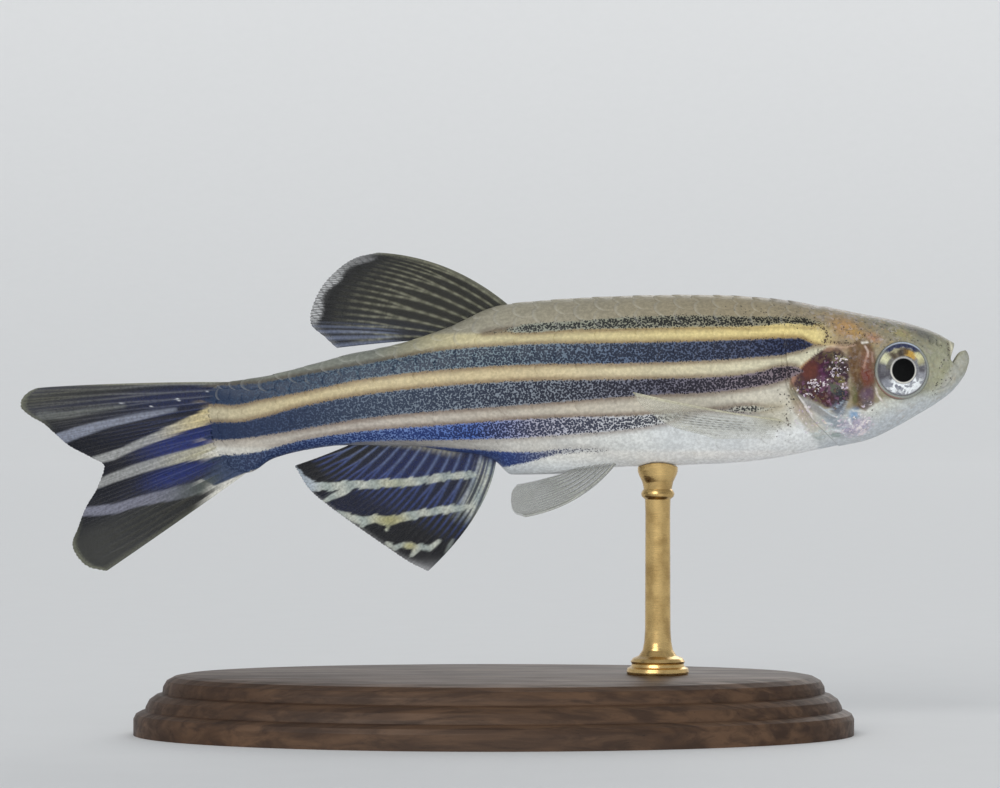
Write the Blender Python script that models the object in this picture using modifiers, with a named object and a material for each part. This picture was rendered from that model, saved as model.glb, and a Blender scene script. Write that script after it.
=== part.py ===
"""Life-size model of a zebra danio, an aquarium fish, held by a plain display stand.

The fish faces +X with its right side towards -Y, and the stand's base rests on Z = 0. Sizes are in
millimetres, measured from the middle of the fish's length (x), from its own midplane (y) and from the line
of its axis (z). They become metres when a mesh is made, and an empty on the fish's axis carries its pieces.
"""

import math

import bmesh
import bpy
import numpy as np
from mathutils import Matrix, Vector

MM = 0.001
AXIS_HEIGHT = 17.0  # height of the fish's axis line above the floor
GAP = 0.3  # space between pieces that touch
SIDES = {"right": -1, "left": 1}

# The tail swings to the fish's left: the sideways reach at the tip of the tail fin, and where it begins.
TAIL_SWING = 1.8
SWING_START = 2.0
TAIL_TIP_X = -23.9

# Rings of the body, from the tail's end to the inside of the mouth. Each has its place along the body, the
# back's x and z, the belly's x and z, the half width, how far the flank is shifted in x and z, and how much
# wider the ring is above its middle than below.
STATIONS = {
    "tail_end": (-12.7, -13.10, 0.68, -12.30, -4.00, 0.50, -0.30, 0.00, 0.00),
    "tail_root": (-11.2, -11.30, 0.98, -11.10, -3.32, 0.74, 0.00, 0.00, 0.00),
    "peduncle_waist": (-9.5, -9.50, 1.42, -9.50, -2.88, 0.95, 0.00, 0.00, 0.00),
    "peduncle_front": (-7.2, -7.20, 2.05, -7.20, -2.62, 1.24, 0.00, 0.00, 0.00),
    "anal_fin_rear": (-4.5, -4.50, 2.62, -4.50, -2.64, 1.60, 0.00, 0.00, 0.02),
    "dorsal_fin_rear": (-2.2, -2.20, 3.42, -2.20, -2.92, 1.90, 0.00, 0.00, 0.04),
    "anal_fin_front": (0.1, 0.10, 4.42, 0.10, -3.42, 2.14, 0.00, 0.00, 0.06),
    "vent": (0.9, 0.90, 4.56, 0.90, -4.08, 2.22, 0.00, 0.00, 0.06),
    "belly_rear": (3.0, 3.00, 4.76, 3.00, -4.05, 2.42, 0.00, 0.00, 0.08),
    "pelvic_root": (6.0, 6.00, 4.93, 6.00, -3.72, 2.58, 0.00, 0.00, 0.08),
    "deepest": (9.5, 9.50, 5.00, 9.50, -3.60, 2.66, -0.10, 0.00, 0.08),
    "shoulder": (13.0, 12.90, 4.90, 13.60, -3.32, 2.66, -0.75, 0.00, 0.08),
    "gill_edge": (15.6, 15.40, 4.62, 17.30, -2.60, 2.50, -1.75, 0.00, 0.10),
    "cheek": (17.5, 17.20, 4.25, 18.90, -2.22, 2.34, -1.15, 0.00, 0.14),
    "eye_rear": (19.0, 18.60, 3.97, 20.15, -1.62, 2.10, -0.60, 0.00, 0.18),
    "eye_middle": (20.2, 19.90, 3.72, 21.20, -1.02, 1.84, -0.25, 0.00, 0.20),
    "eye_front": (21.4, 21.10, 3.42, 22.24, -0.38, 1.42, -0.10, 0.00, 0.18),
    "nostril": (22.3, 21.95, 3.12, 23.04, 0.28, 1.06, -0.12, -0.10, 0.12),
    "snout": (23.0, 22.60, 2.79, 23.68, 1.13, 0.78, -0.30, -0.32, 0.06),
    "lip_crest": (23.5, 23.03, 2.46, 23.85, 1.78, 0.60, -0.56, -0.62, 0.00),
    "lip_rim": (23.85, 22.92, 2.17, 23.56, 2.19, 0.46, -0.40, -0.68, 0.00),
    "mouth_inside": (24.2, 22.76, 1.93, 23.20, 1.74, 0.32, -0.18, -0.38, 0.00),
    "mouth_end": (24.5, 22.62, 1.60, 22.80, 1.40, 0.16, 0.00, 0.00, 0.00),
}
PLACE, BACK_X, BACK_Z, BELLY_X, BELLY_Z, HALF_WIDTH, SIDE_X, SIDE_Z, SHOULDER = range(9)
STATION_TABLE = np.array(list(STATIONS.values()))
FULLNESS = 0.03  # how much fuller than an ellipse a ring is

TAIL_JOIN = 0.6  # place of the cut between trunk and tail, just behind the vent
GILL_JOIN = STATIONS["gill_edge"][PLACE]  # place of the gill opening, between head and trunk

# Gill cover: its rear edge stands proud at the gill opening and runs out forwards, upwards and downwards.
GILL_RISE = 0.24
GILL_FRONT = 18.3
GILL_TOP = (0.20, 0.34)
GILL_BOTTOM = (0.90, 1.00)

# Low ridges of the head: the cheek plate's rear edge, the lip, and the groove behind the lip. Each has its
# place along the body, its rise, its half length along the body, and its reach from the back to the belly.
CHEEK_RIDGE = (18.35, 0.07, 0.22, 0.42, 0.92)
LIP = (23.48, 0.05, 0.16, -0.30, 1.30)
LIP_GROOVE = (23.14, -0.04, 0.12, 0.20, 1.10)
RIDGE_FADE = 0.12

# Eye: centre, radius in the side view, half depth across, its turn towards the snout, and how full it is,
# where 2 is a plain ball.
EYE_X = 20.20
EYE_Z = 1.18
EYE_Y = 1.52
EYE_RADIUS = 1.25
EYE_HALF_DEPTH = 0.56
EYE_TURN = math.radians(11)
EYE_FULLNESS = 2.5

# Nostrils: the place along the body and the height of two pits on each side, before the eye.
NOSTRILS = ((21.78, 2.62), (22.20, 2.50))
NOSTRIL_RADIUS = 0.17
NOSTRIL_DEPTH = 0.09

# Fins: half thicknesses of the membrane at the root, in the blade and at the margin, how far a ray stands
# out of the membrane, how far its tip passes the membrane, and how deep the root is sunk before it is cut.
ROOT_HALF = 0.34
BLADE_HALF = 0.25
MARGIN_HALF = 0.13
RAY_RISE = 0.13
RAY_REACH = 0.14
RAY_FOOT = 0.24  # half width of a ray, as a share of the space between two rays
RAY_AT_ROOT = 0.35  # share of a ray's rise that is there at the root already
SINK = 0.7
CAUDAL_ROOT_HALF = 0.46
BLADE_ROWS = (0.0, 0.10, 0.22, 0.38, 0.55, 0.72, 0.87, 0.96, 1.0)

# Each fin's rays, its root, its margin as points (share from first ray to last, x, y, z), and the bows, which
# are how far the middle of the first and of the last ray stand off their chords.
DORSAL_RAYS = 9
DORSAL_ROOT = (1.00, -3.30)
DORSAL_BOWS = ((0.20, 0, 0.60), (0, 0, 0.12))
DORSAL_MARGIN = (
    (0.00, -5.80, 0, 7.10),
    (0.20, -7.00, 0, 6.80),
    (0.40, -8.00, 0, 6.10),
    (0.60, -8.80, 0, 5.10),
    (0.80, -9.25, 0, 3.80),
    (0.92, -8.55, 0, 2.90),
    (1.00, -7.50, 0, 2.50),
)
ANAL_RAYS = 14
ANAL_ROOT = (0.15, -6.60)
ANAL_BOWS = ((0.95, 0, 0.05), (0, 0, -0.05))
ANAL_MARGIN = (
    (0.00, -3.30, 0, -8.90),
    (0.12, -4.20, 0, -8.45),
    (0.30, -5.55, 0, -7.55),
    (0.50, -7.00, 0, -6.55),
    (0.70, -8.30, 0, -5.60),
    (0.85, -9.25, 0, -4.80),
    (1.00, -10.00, 0, -3.60),
)
CAUDAL_RAYS = 9  # in each lobe
UPPER_LOBE_BOWS = ((0, 0, 0.08), (0, 0, 0.35))
UPPER_LOBE_MARGIN = (
    (0.00, -22.90, 0, 0.38),
    (0.12, -24.00, 0, -0.25),
    (0.25, -23.75, 0, -1.00),
    (0.45, -22.60, 0, -1.65),
    (0.65, -21.60, 0, -2.50),
    (0.85, -20.40, 0, -3.20),
    (1.00, -19.75, 0, -3.62),
)
LOWER_LOBE_BOWS = ((0, 0, 0.35), (0.05, 0, 0))
LOWER_LOBE_MARGIN = (
    (0.00, -19.80, 0, -3.98),
    (0.15, -20.00, 0, -4.80),
    (0.35, -20.50, 0, -5.85),
    (0.55, -21.00, 0, -7.00),
    (0.75, -21.40, 0, -8.00),
    (0.88, -20.75, 0, -8.80),
    (1.00, -19.40, 0, -9.00),
)
PELVIC_RAYS = 8
PELVIC_ROOT = (6.20, 4.30)
PELVIC_ROOT_Y = 0.72
PELVIC_BOWS = ((0.30, 0, -0.45), (0.1, 0, -0.1))
PELVIC_MARGIN = (
    (0.00, 1.55, 1.50, -6.10),
    (0.20, 1.05, 1.42, -5.95),
    (0.50, 0.85, 1.25, -5.40),
    (0.80, 0.90, 1.05, -4.90),
    (1.00, 1.15, 0.95, -4.55),
)
PECTORAL_RAYS = 7
PECTORAL_ROOT = ((15.00, -1.35), (14.60, -2.15))  # x and z of its first and last ray
PECTORAL_BOWS = ((0, 0.40, -0.12), (0, 0.25, -0.05))
PECTORAL_MARGIN = (
    (0.00, 6.75, 4.90, 0.10),
    (0.25, 7.20, 4.57, -0.55),
    (0.50, 8.00, 4.11, -1.20),
    (0.75, 9.20, 3.50, -1.75),
    (1.00, 10.90, 2.75, -2.20),
)

# Stand: an oval base with a moulded edge, and a turned rod with a foot and a cup under the belly. The
# moulding is points (how far in from the full oval, height) from the floor up to the flat top.
BASE_LENGTH = 36.0
BASE_WIDTH = 20.0
BASE_HEIGHT = 3.0
BASE_PROFILE = (
    (0.00, 0.00),
    (0.00, 0.80),
    (0.12, 1.04),
    (0.38, 1.18),
    (0.58, 1.24),
    (0.62, 1.42),
    (0.80, 1.76),
    (1.14, 2.00),
    (1.44, 2.08),
    (1.48, 2.40),
    (1.66, 2.70),
    (2.04, 2.90),
    (2.60, BASE_HEIGHT),
)
BASE_SIDES = 64
ROD_X = 8.2
ROD_RADIUS = 0.65
ROD_FOOT_RADIUS = 1.5
ROD_FOOT_HEIGHT = 0.9
ROD_CUP_RADIUS = 0.95
ROD_CUP_HEIGHT = 1.0
ROD_SIDES = 24

# Colours, linear, of the materials.
COLOURS = {
    "head_skin": (0.42, 0.40, 0.32, 0.35, 0.30),
    "body_skin": (0.34, 0.36, 0.36, 0.38, 0.30),
    "fin_clear": (0.16, 0.16, 0.13, 0.40, 0.00),
    "fin_banded": (0.05, 0.08, 0.16, 0.40, 0.00),
    "eye_silver": (0.55, 0.57, 0.55, 0.15, 0.40),
    "stand_wood": (0.05, 0.03, 0.02, 0.45, 0.00),
    "stand_brass": (0.60, 0.42, 0.18, 0.28, 1.00),
}


def smooth_curve(knots, values, at):
    """Cubic through the knots that never passes beyond the values it joins."""
    knots = np.asarray(knots, float)
    values = np.asarray(values, float)
    at = np.clip(np.asarray(at, float), knots[0], knots[-1])
    span = np.diff(knots)
    slope = np.diff(values) / span
    tangent = np.zeros_like(values)
    tangent[0], tangent[-1] = slope[0], slope[-1]
    before, after = slope[:-1], slope[1:]
    mean = (before * span[1:] + after * span[:-1]) / (span[1:] + span[:-1])
    limit = 3 * np.minimum(abs(before), abs(after))
    tangent[1:-1] = np.where(before * after > 0, np.clip(mean, -limit, limit), 0)
    i = np.clip(np.searchsorted(knots, at, side="right") - 1, 0, len(span) - 1)
    s = (at - knots[i]) / span[i]
    return (
        values[i] * (1 + 2 * s) * (1 - s) ** 2
        + tangent[i] * span[i] * s * (1 - s) ** 2
        + values[i + 1] * s**2 * (3 - 2 * s)
        + tangent[i + 1] * span[i] * s**2 * (s - 1)
    )


def smooth_step(low, high, value):
    share = np.clip((value - low) / (high - low), 0, 1)
    return share**2 * (3 - 2 * share)


def station(column, place):
    """One size of the body's rings at any place along it."""
    return smooth_curve(STATION_TABLE[:, PLACE], STATION_TABLE[:, column], place)


def swing(x):
    """How far the tail's swing carries a point at x to the fish's left."""
    share = np.clip((SWING_START - x) / (SWING_START - TAIL_TIP_X), 0, None)
    return TAIL_SWING * share**2


def ring(place, turn, growth=0.0):
    """Points of the body's surface at a place, for turns from the back (0) round the right side to pi."""
    back_x = station(BACK_X, place)
    back_z = station(BACK_Z, place) + growth
    belly_x = station(BELLY_X, place)
    belly_z = station(BELLY_Z, place) - growth
    down = (1 - np.cos(turn)) / 2
    across = np.sin(turn) ** 2
    fullness = (np.sin(turn) + FULLNESS * np.sin(3 * turn)) / (1 - FULLNESS)
    wider_above = 1 + station(SHOULDER, place) * np.cos(turn)
    x = back_x + (belly_x - back_x) * down + station(SIDE_X, place) * across
    y = -(station(HALF_WIDTH, place) + growth) * fullness * wider_above
    z = back_z + (belly_z - back_z) * down + station(SIDE_Z, place) * across
    return x, y, z


def head_relief(place, turn):
    """How far the gill cover, the cheek plate's edge and the lips stand out of the head's surface."""
    down = (1 - np.cos(turn)) / 2
    forward = 1 - smooth_step(GILL_JOIN, GILL_FRONT, place)
    rise = GILL_RISE * forward * smooth_step(*GILL_TOP, down) * (1 - smooth_step(*GILL_BOTTOM, down))
    for crest, height, half_length, top, bottom in (CHEEK_RIDGE, LIP, LIP_GROOVE):
        within = smooth_step(top, top + RIDGE_FADE, down)
        within = within * (1 - smooth_step(bottom - RIDGE_FADE, bottom, down))
        rise = rise + height * within * np.exp(-(((place - crest) / half_length) ** 2))
    return rise


def body_rings(places, sides, growth=0.0, with_relief=False):
    """Closed rings of the body, one for each place."""
    place, turn = np.meshgrid(places, 2 * math.pi * np.arange(sides) / sides, indexing="ij")
    x, y, z = ring(place, turn, growth)
    if with_relief:
        rise = head_relief(place, turn)
        y = y - rise * np.sin(turn)
        z = z + rise * np.cos(turn)
    return np.stack([x, y, z], axis=-1)


def flank(x, z):
    """The half width of the trunk at a point of the side view, from rings that stand upright."""
    back_z, belly_z = station(BACK_Z, x), station(BELLY_Z, x)
    turn = np.arccos(np.clip(1 - 2 * (back_z - z) / (back_z - belly_z), -1, 1))
    return -ring(x, turn)[1]


def new_object(name, points, faces, material, origin=(0, 0, 0), cutter=False):
    """An object from points in the fish's own frame, placed by its origin, that follows the fish's axis."""
    points = np.array(points, float)
    points[:, 1] += swing(points[:, 0])
    mesh = bpy.data.meshes.new(name)
    mesh.from_pydata(((points - origin) * MM).tolist(), [], faces)
    made = bmesh.new()
    made.from_mesh(mesh)
    bmesh.ops.recalc_face_normals(made, faces=made.faces)
    made.to_mesh(mesh)
    made.free()
    mesh.shade_smooth()
    mesh.set_sharp_from_angle(angle=math.radians(40))
    obj = bpy.data.objects.new(name, mesh)
    obj.location = Vector(origin) * MM
    obj.parent = bpy.data.objects["fish_axis"]
    return file_object(obj, material, cutter)


def file_object(obj, material, cutter=False):
    """Puts an object in its collection, with its material."""
    for collection in obj.users_collection:
        collection.objects.unlink(obj)
    COLLECTIONS["cutters" if cutter else "zebra_danio"].objects.link(obj)
    if cutter:
        obj.hide_render = True
        obj.display_type = "WIRE"
    else:
        obj.data.materials.clear()
        obj.data.materials.append(MATERIALS[material])
    return obj


def loft(name, rings, material, cutter=False):
    """A solid through closed rings. Each end is closed by strips that run from side to side."""
    count, sides = rings.shape[:2]
    faces = []
    for i in range(count - 1):
        for k in range(sides):
            n = (k + 1) % sides
            faces.append((i * sides + k, i * sides + n, (i + 1) * sides + n, (i + 1) * sides + k))
    half = sides // 2
    for start in (0, (count - 1) * sides):
        faces.append((start, start + 1, start + sides - 1))
        for k in range(1, half - 1):
            faces.append((start + k, start + k + 1, start + sides - k - 1, start + sides - k))
        faces.append((start + half - 1, start + half, start + half + 1))
    return new_object(name, rings.reshape(-1, 3), faces, material, cutter=cutter)


def cut(obj, cutter):
    """Takes a cutter's volume, kept for later edits, away from an object."""
    modifier = obj.modifiers.new("cut_" + cutter.name, "BOOLEAN")
    modifier.operation = "DIFFERENCE"
    modifier.solver = "EXACT"
    modifier.object = cutter
    return obj


def ball(name, centre, radii, turn, material, cutter=False, segments=20, rings=12, fullness=2.0):
    """A ball with three radii, placed in the fish's frame and turned about the upright axis."""
    made = bmesh.new()
    bmesh.ops.create_uvsphere(made, u_segments=segments, v_segments=rings, radius=1)
    bmesh.ops.rotate(made, verts=made.verts, matrix=Matrix.Rotation(math.radians(90), 3, "X"))
    for vert in made.verts:
        x, y, z = vert.co
        size = (math.hypot(x, z) ** fullness + abs(y) ** fullness) ** (1 / fullness)
        vert.co = Vector((x * radii[0], y * radii[1], z * radii[2])) / size * MM
    mesh = bpy.data.meshes.new(name)
    made.to_mesh(mesh)
    made.free()
    mesh.shade_smooth()
    obj = bpy.data.objects.new(name, mesh)
    obj.location = Vector(centre) * MM
    obj.rotation_euler.z = turn
    obj.parent = bpy.data.objects["fish_axis"]
    return file_object(obj, material, cutter)


def ray_columns(rays):
    """Shares across a fin for each ray's crest and its two feet, and how much of a ray each column is."""
    spacing = 1 / (rays - 1)
    columns = []
    for k in range(rays):
        crest = k * spacing
        for offset, rise in ((-RAY_FOOT * spacing, 0), (0, 1), (RAY_FOOT * spacing, 0)):
            if 0 <= crest + offset <= 1:
                columns.append((crest + offset, rise))
    return np.array(columns).T


def fin(name, root, margin, rays, bows, material, root_half=ROOT_HALF, side=None):
    """A fin with rays raised on both faces.

    Root and margin give a point for each share from the first ray to the last. A paired fin has a side, and
    its faces then lie along its own blade instead of the fish's midplane.
    """
    share, rise = ray_columns(rays)
    rows = np.array(BLADE_ROWS)
    start, end = root(share), margin(share)
    chord = end - start
    end = end + chord / np.linalg.norm(chord, axis=-1, keepdims=True) * RAY_REACH * (rise[:, None] - 1)
    bow = np.array(bows[0]) * (1 - share[:, None]) + np.array(bows[1]) * share[:, None]
    v = rows[:, None, None]
    points = start + (end - start) * v + bow * 4 * v * (1 - v)
    normal = np.array([0, 1.0, 0])
    if side is not None:
        along = points[-1].mean(axis=0) - points[0].mean(axis=0)
        across = points[:, -1].mean(axis=0) - points[:, 0].mean(axis=0)
        normal = np.cross(along, across)
        normal /= np.linalg.norm(normal)
    near_root = (1 - rows) ** 4
    near_margin = smooth_step(0.8, 1.0, rows)
    membrane = BLADE_HALF + (root_half - BLADE_HALF) * near_root
    membrane = membrane + (MARGIN_HALF - membrane) * near_margin
    standing = (1 - near_root * (1 - RAY_AT_ROOT)) * (1 - near_margin * 0.8)
    half = membrane[:, None] + RAY_RISE * rise[None, :] * standing[:, None]
    faces = points + normal * half[..., None], points - normal * half[..., None]
    origin = (start[0] + start[-1]) / 2
    for face in faces:
        face[..., 1] *= side or 1
    origin[1] = origin[1] * (side or 1) + swing(origin[0])
    return fin_solid(name, *faces, material, origin)


def fin_solid(name, upper, lower, material, origin):
    """A closed sheet between two grids of points, with both faces split into triangles alike."""
    rows, columns = upper.shape[:2]
    points = np.concatenate([upper.reshape(-1, 3), lower.reshape(-1, 3)])
    other = rows * columns
    faces = []
    for i in range(rows - 1):
        for k in range(columns - 1):
            a = i * columns + k
            b, c, d = a + 1, a + columns + 1, a + columns
            for one, two, three in ((a, b, c), (a, c, d)):
                faces.append((one, two, three))
                faces.append((other + three, other + two, other + one))
    rim = list(range(columns))
    rim += [i * columns + columns - 1 for i in range(1, rows)]
    rim += [(rows - 1) * columns + k for k in range(columns - 2, -1, -1)]
    rim += [i * columns for i in range(rows - 2, 0, -1)]
    for here, there in zip(rim, rim[1:] + rim[:1]):
        faces.append((here, other + here, other + there))
        faces.append((here, other + there, there))
    return new_object(name, points, faces, material, origin)


def line(points):
    """A smooth line through (share, x, y, z) points, as a function of the share."""
    table = np.array(points, float)

    def place(share):
        return np.stack([smooth_curve(table[:, 0], table[:, k], share) for k in (1, 2, 3)], axis=-1)

    return place


def midline_root(first_x, last_x, height, depth):
    """A root sunk below the back's outline, or above the belly's where the depth is negative."""

    def place(share):
        x = first_x + (last_x - first_x) * share
        return np.stack([x, np.zeros_like(x), station(height, x) - depth], axis=-1)

    return place


def flesh():
    """Head, trunk and tail, parted at the gill opening and behind the vent."""
    lengths = [(GILL_JOIN + GAP / 2, 17.8, 6), (18.05, 18.75, 5), (19.1, 22.6, 11), (22.85, 24.5, 12)]
    head_places = np.concatenate([np.linspace(*length) for length in lengths])
    head = loft("head", body_rings(head_places, 36, with_relief=True), "head_skin")
    trunk_places = np.linspace(TAIL_JOIN + GAP / 2, GILL_JOIN - GAP / 2, 18)
    loft("trunk", body_rings(trunk_places, 32), "body_skin")
    tail_places = np.linspace(-12.7, TAIL_JOIN - GAP / 2, 16)
    loft("tail", body_rings(tail_places, 32), "body_skin")
    return head


def grown_body():
    """The whole body grown by the gap, which trims each fin and the rod to meet it."""
    rings = body_rings(np.linspace(-12.7, 23.0, 60), 36, growth=GAP)
    rings[0, :, 0] -= GAP
    return loft("grown_body", rings, None, cutter=True)


def eyes(head):
    """Both eyes, each in a socket that is wider by the gap."""
    radii = np.array([EYE_RADIUS, EYE_HALF_DEPTH, EYE_RADIUS])
    for name, side in SIDES.items():
        centre = (EYE_X, side * EYE_Y, EYE_Z)
        turn = -side * EYE_TURN
        ball("eye_" + name, centre, radii, turn, "eye_silver", fullness=EYE_FULLNESS)
        socket = ball("socket_" + name, centre, radii + GAP, turn, None, cutter=True, fullness=EYE_FULLNESS)
        cut(head, socket)


def nostrils(head):
    """Two pits on each side of the snout."""
    turns = np.linspace(0, math.pi, 181)
    for number, (place, height) in enumerate(NOSTRILS, 1):
        x, y, z = ring(place, turns)
        nearest = np.argmin(abs(z - height))
        for name, side in SIDES.items():
            centre = (x[nearest], -side * y[nearest], z[nearest])
            radii = (NOSTRIL_RADIUS, NOSTRIL_DEPTH * 2, NOSTRIL_RADIUS)
            pit_name = f"nostril_{name}_{number}"
            cut(head, ball(pit_name, centre, radii, 0, None, cutter=True, segments=10, rings=6))


def dorsal_fin():
    root = midline_root(*DORSAL_ROOT, BACK_Z, SINK)
    fin("dorsal_fin", root, line(DORSAL_MARGIN), DORSAL_RAYS, DORSAL_BOWS, "fin_clear")


def anal_fin():
    root = midline_root(*ANAL_ROOT, BELLY_Z, -SINK)
    fin("anal_fin", root, line(ANAL_MARGIN), ANAL_RAYS, ANAL_BOWS, "fin_banded")


def caudal_fin():
    """Both lobes of the tail fin, which part at the fork."""
    end = STATIONS["tail_end"]
    top = np.array([end[BACK_X], 0, end[BACK_Z]])
    bottom = np.array([end[BELLY_X], 0, end[BELLY_Z]])
    middle = (top + bottom) / 2 + np.array([end[SIDE_X], 0, 0])
    inwards = np.array([SINK, 0, 0])
    parting = np.array([0, 0, GAP / 2])
    upper_root = line([(0, *(top + inwards - parting)), (1, *(middle + parting + inwards))])
    lower_root = line([(0, *(middle - parting + inwards)), (1, *(bottom + inwards * 0.6 + parting))])
    sizes = (CAUDAL_RAYS, UPPER_LOBE_BOWS, "fin_banded", CAUDAL_ROOT_HALF)
    fin("caudal_fin_upper", upper_root, line(UPPER_LOBE_MARGIN), *sizes)
    sizes = (CAUDAL_RAYS, LOWER_LOBE_BOWS, "fin_banded", CAUDAL_ROOT_HALF)
    fin("caudal_fin_lower", lower_root, line(LOWER_LOBE_MARGIN), *sizes)


def pelvic_fins():
    """The pair under the belly, swept back and spread a little."""
    ends = []
    for share, x in enumerate(PELVIC_ROOT):
        ends.append((share, x, PELVIC_ROOT_Y, float(station(BELLY_Z, x)) + SINK * 0.8))
    for name, side in SIDES.items():
        root, margin = line(ends), line(PELVIC_MARGIN)
        fin("pelvic_fin_" + name, root, margin, PELVIC_RAYS, PELVIC_BOWS, "fin_clear", side=side)


def pectoral_fins():
    """The pair behind the gill covers, held out and back like wings."""
    ends = []
    for share, (x, z) in enumerate(PECTORAL_ROOT):
        ends.append((share, x, float(flank(x, z)) - SINK, z))
    for name, side in SIDES.items():
        root, margin = line(ends), line(PECTORAL_MARGIN)
        fin("pectoral_fin_" + name, root, margin, PECTORAL_RAYS, PECTORAL_BOWS, "fin_clear", side=side)


def stand_base():
    """An oval plinth that rests on the floor, built up from the ovals of its moulding."""
    made = bmesh.new()
    levels = []
    for inset, height in BASE_PROFILE:
        level = bmesh.ops.create_circle(made, segments=BASE_SIDES, radius=1)["verts"]
        size = (BASE_LENGTH / 2 - inset, BASE_WIDTH / 2 - inset, 1)
        bmesh.ops.scale(made, verts=level, vec=Vector(size) * MM)
        bmesh.ops.translate(made, verts=level, vec=(0, 0, height * MM))
        levels.append((level, list({edge for vert in level for edge in vert.link_edges})))
    for (_, lower), (_, upper) in zip(levels, levels[1:]):
        bmesh.ops.bridge_loops(made, edges=lower + upper)
    for level, _ in (levels[0], levels[-1]):
        made.faces.new(level)
    bmesh.ops.recalc_face_normals(made, faces=made.faces)
    mesh = bpy.data.meshes.new("stand_base")
    made.to_mesh(mesh)
    made.free()
    return file_object(bpy.data.objects.new("stand_base", mesh), "stand_wood")


def stand_rod():
    """A turned rod between the base and the belly. Its cup is trimmed to the belly's shape."""
    foot_z = BASE_HEIGHT + GAP
    cup_z = AXIS_HEIGHT + float(station(BELLY_Z, ROD_X)) - GAP
    into_belly = 0.6
    outline = [
        (0, cup_z + into_belly),
        (ROD_CUP_RADIUS, cup_z + into_belly),
        (ROD_CUP_RADIUS, cup_z - ROD_CUP_HEIGHT * 0.5),
        (ROD_RADIUS, cup_z - ROD_CUP_HEIGHT),
        (ROD_RADIUS, foot_z + ROD_FOOT_HEIGHT + 0.4),
        (ROD_FOOT_RADIUS * 0.75, foot_z + ROD_FOOT_HEIGHT),
        (ROD_FOOT_RADIUS, foot_z + ROD_FOOT_HEIGHT * 0.6),
        (ROD_FOOT_RADIUS, foot_z),
        (0, foot_z),
    ]
    mesh = bpy.data.meshes.new("stand_rod")
    points = [(r * MM, 0, z * MM) for r, z in outline]
    mesh.from_pydata(points, [(i, i + 1) for i in range(len(points) - 1)], [])
    rod = bpy.data.objects.new("stand_rod", mesh)
    rod.location.x = ROD_X * MM
    screw = rod.modifiers.new("turned", "SCREW")
    screw.steps = screw.render_steps = ROD_SIDES
    screw.use_merge_vertices = True
    screw.merge_threshold = 0.00001
    screw.use_smooth_shade = True
    file_object(rod, "stand_brass")
    return rod


def make_materials():
    for name, (red, green, blue, roughness, metallic) in COLOURS.items():
        material = bpy.data.materials.new(name)
        material.use_nodes = True
        shader = material.node_tree.nodes["Principled BSDF"]
        shader.inputs["Base Color"].default_value = (red, green, blue, 1)
        shader.inputs["Roughness"].default_value = roughness
        shader.inputs["Metallic"].default_value = metallic
        MATERIALS[name] = material


def clear_scene():
    for obj in list(bpy.data.objects):
        bpy.data.objects.remove(obj)
    for name in ("zebra_danio", "cutters"):
        collection = bpy.data.collections.new(name)
        bpy.context.scene.collection.children.link(collection)
        COLLECTIONS[name] = collection
    axis = bpy.data.objects.new("fish_axis", None)
    axis.location.z = AXIS_HEIGHT * MM
    COLLECTIONS["zebra_danio"].objects.link(axis)


MATERIALS = {}
COLLECTIONS = {}


def main():
    clear_scene()
    make_materials()
    head = flesh()
    eyes(head)
    nostrils(head)
    dorsal_fin()
    anal_fin()
    caudal_fin()
    pelvic_fins()
    pectoral_fins()
    stand_base()
    stand_rod()
    body = grown_body()
    for obj in COLLECTIONS["zebra_danio"].objects:
        if "_fin" in obj.name or obj.name == "stand_rod":
            cut(obj, body)


main()
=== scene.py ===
"""Looks of a life-size zebra danio model on a display stand: skin, scales, fins, eyes, plinth and rod.

Shapes are worked out in the fish's own frame, as its solids are: millimetres, x from the middle of the
fish's length towards the snout, y from its midplane with the right side at -y, z from its axis line.
new_mesh() turns them to metres and lifts them to the height of the axis.
"""

import math

import bpy
import numpy as np
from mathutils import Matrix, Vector


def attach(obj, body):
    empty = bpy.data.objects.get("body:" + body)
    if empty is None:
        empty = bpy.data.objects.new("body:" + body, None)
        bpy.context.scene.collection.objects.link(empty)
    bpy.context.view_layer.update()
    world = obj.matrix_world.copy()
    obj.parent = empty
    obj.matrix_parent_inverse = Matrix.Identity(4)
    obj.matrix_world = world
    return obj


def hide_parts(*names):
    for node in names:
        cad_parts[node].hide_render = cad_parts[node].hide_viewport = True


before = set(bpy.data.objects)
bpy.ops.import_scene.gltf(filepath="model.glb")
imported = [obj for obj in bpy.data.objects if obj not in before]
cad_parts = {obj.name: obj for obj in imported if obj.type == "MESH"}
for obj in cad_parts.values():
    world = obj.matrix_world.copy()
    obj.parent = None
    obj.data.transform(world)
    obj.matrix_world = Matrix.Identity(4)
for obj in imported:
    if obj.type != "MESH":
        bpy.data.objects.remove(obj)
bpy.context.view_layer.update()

MM = 0.001
AXIS_HEIGHT = 17.0
SIDES = {"right": -1, "left": 1}
SEED = 7

# The tail's swing to the fish's left.
TAIL_SWING = 1.8
SWING_START = 2.0
TAIL_TIP_X = -23.9

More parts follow.
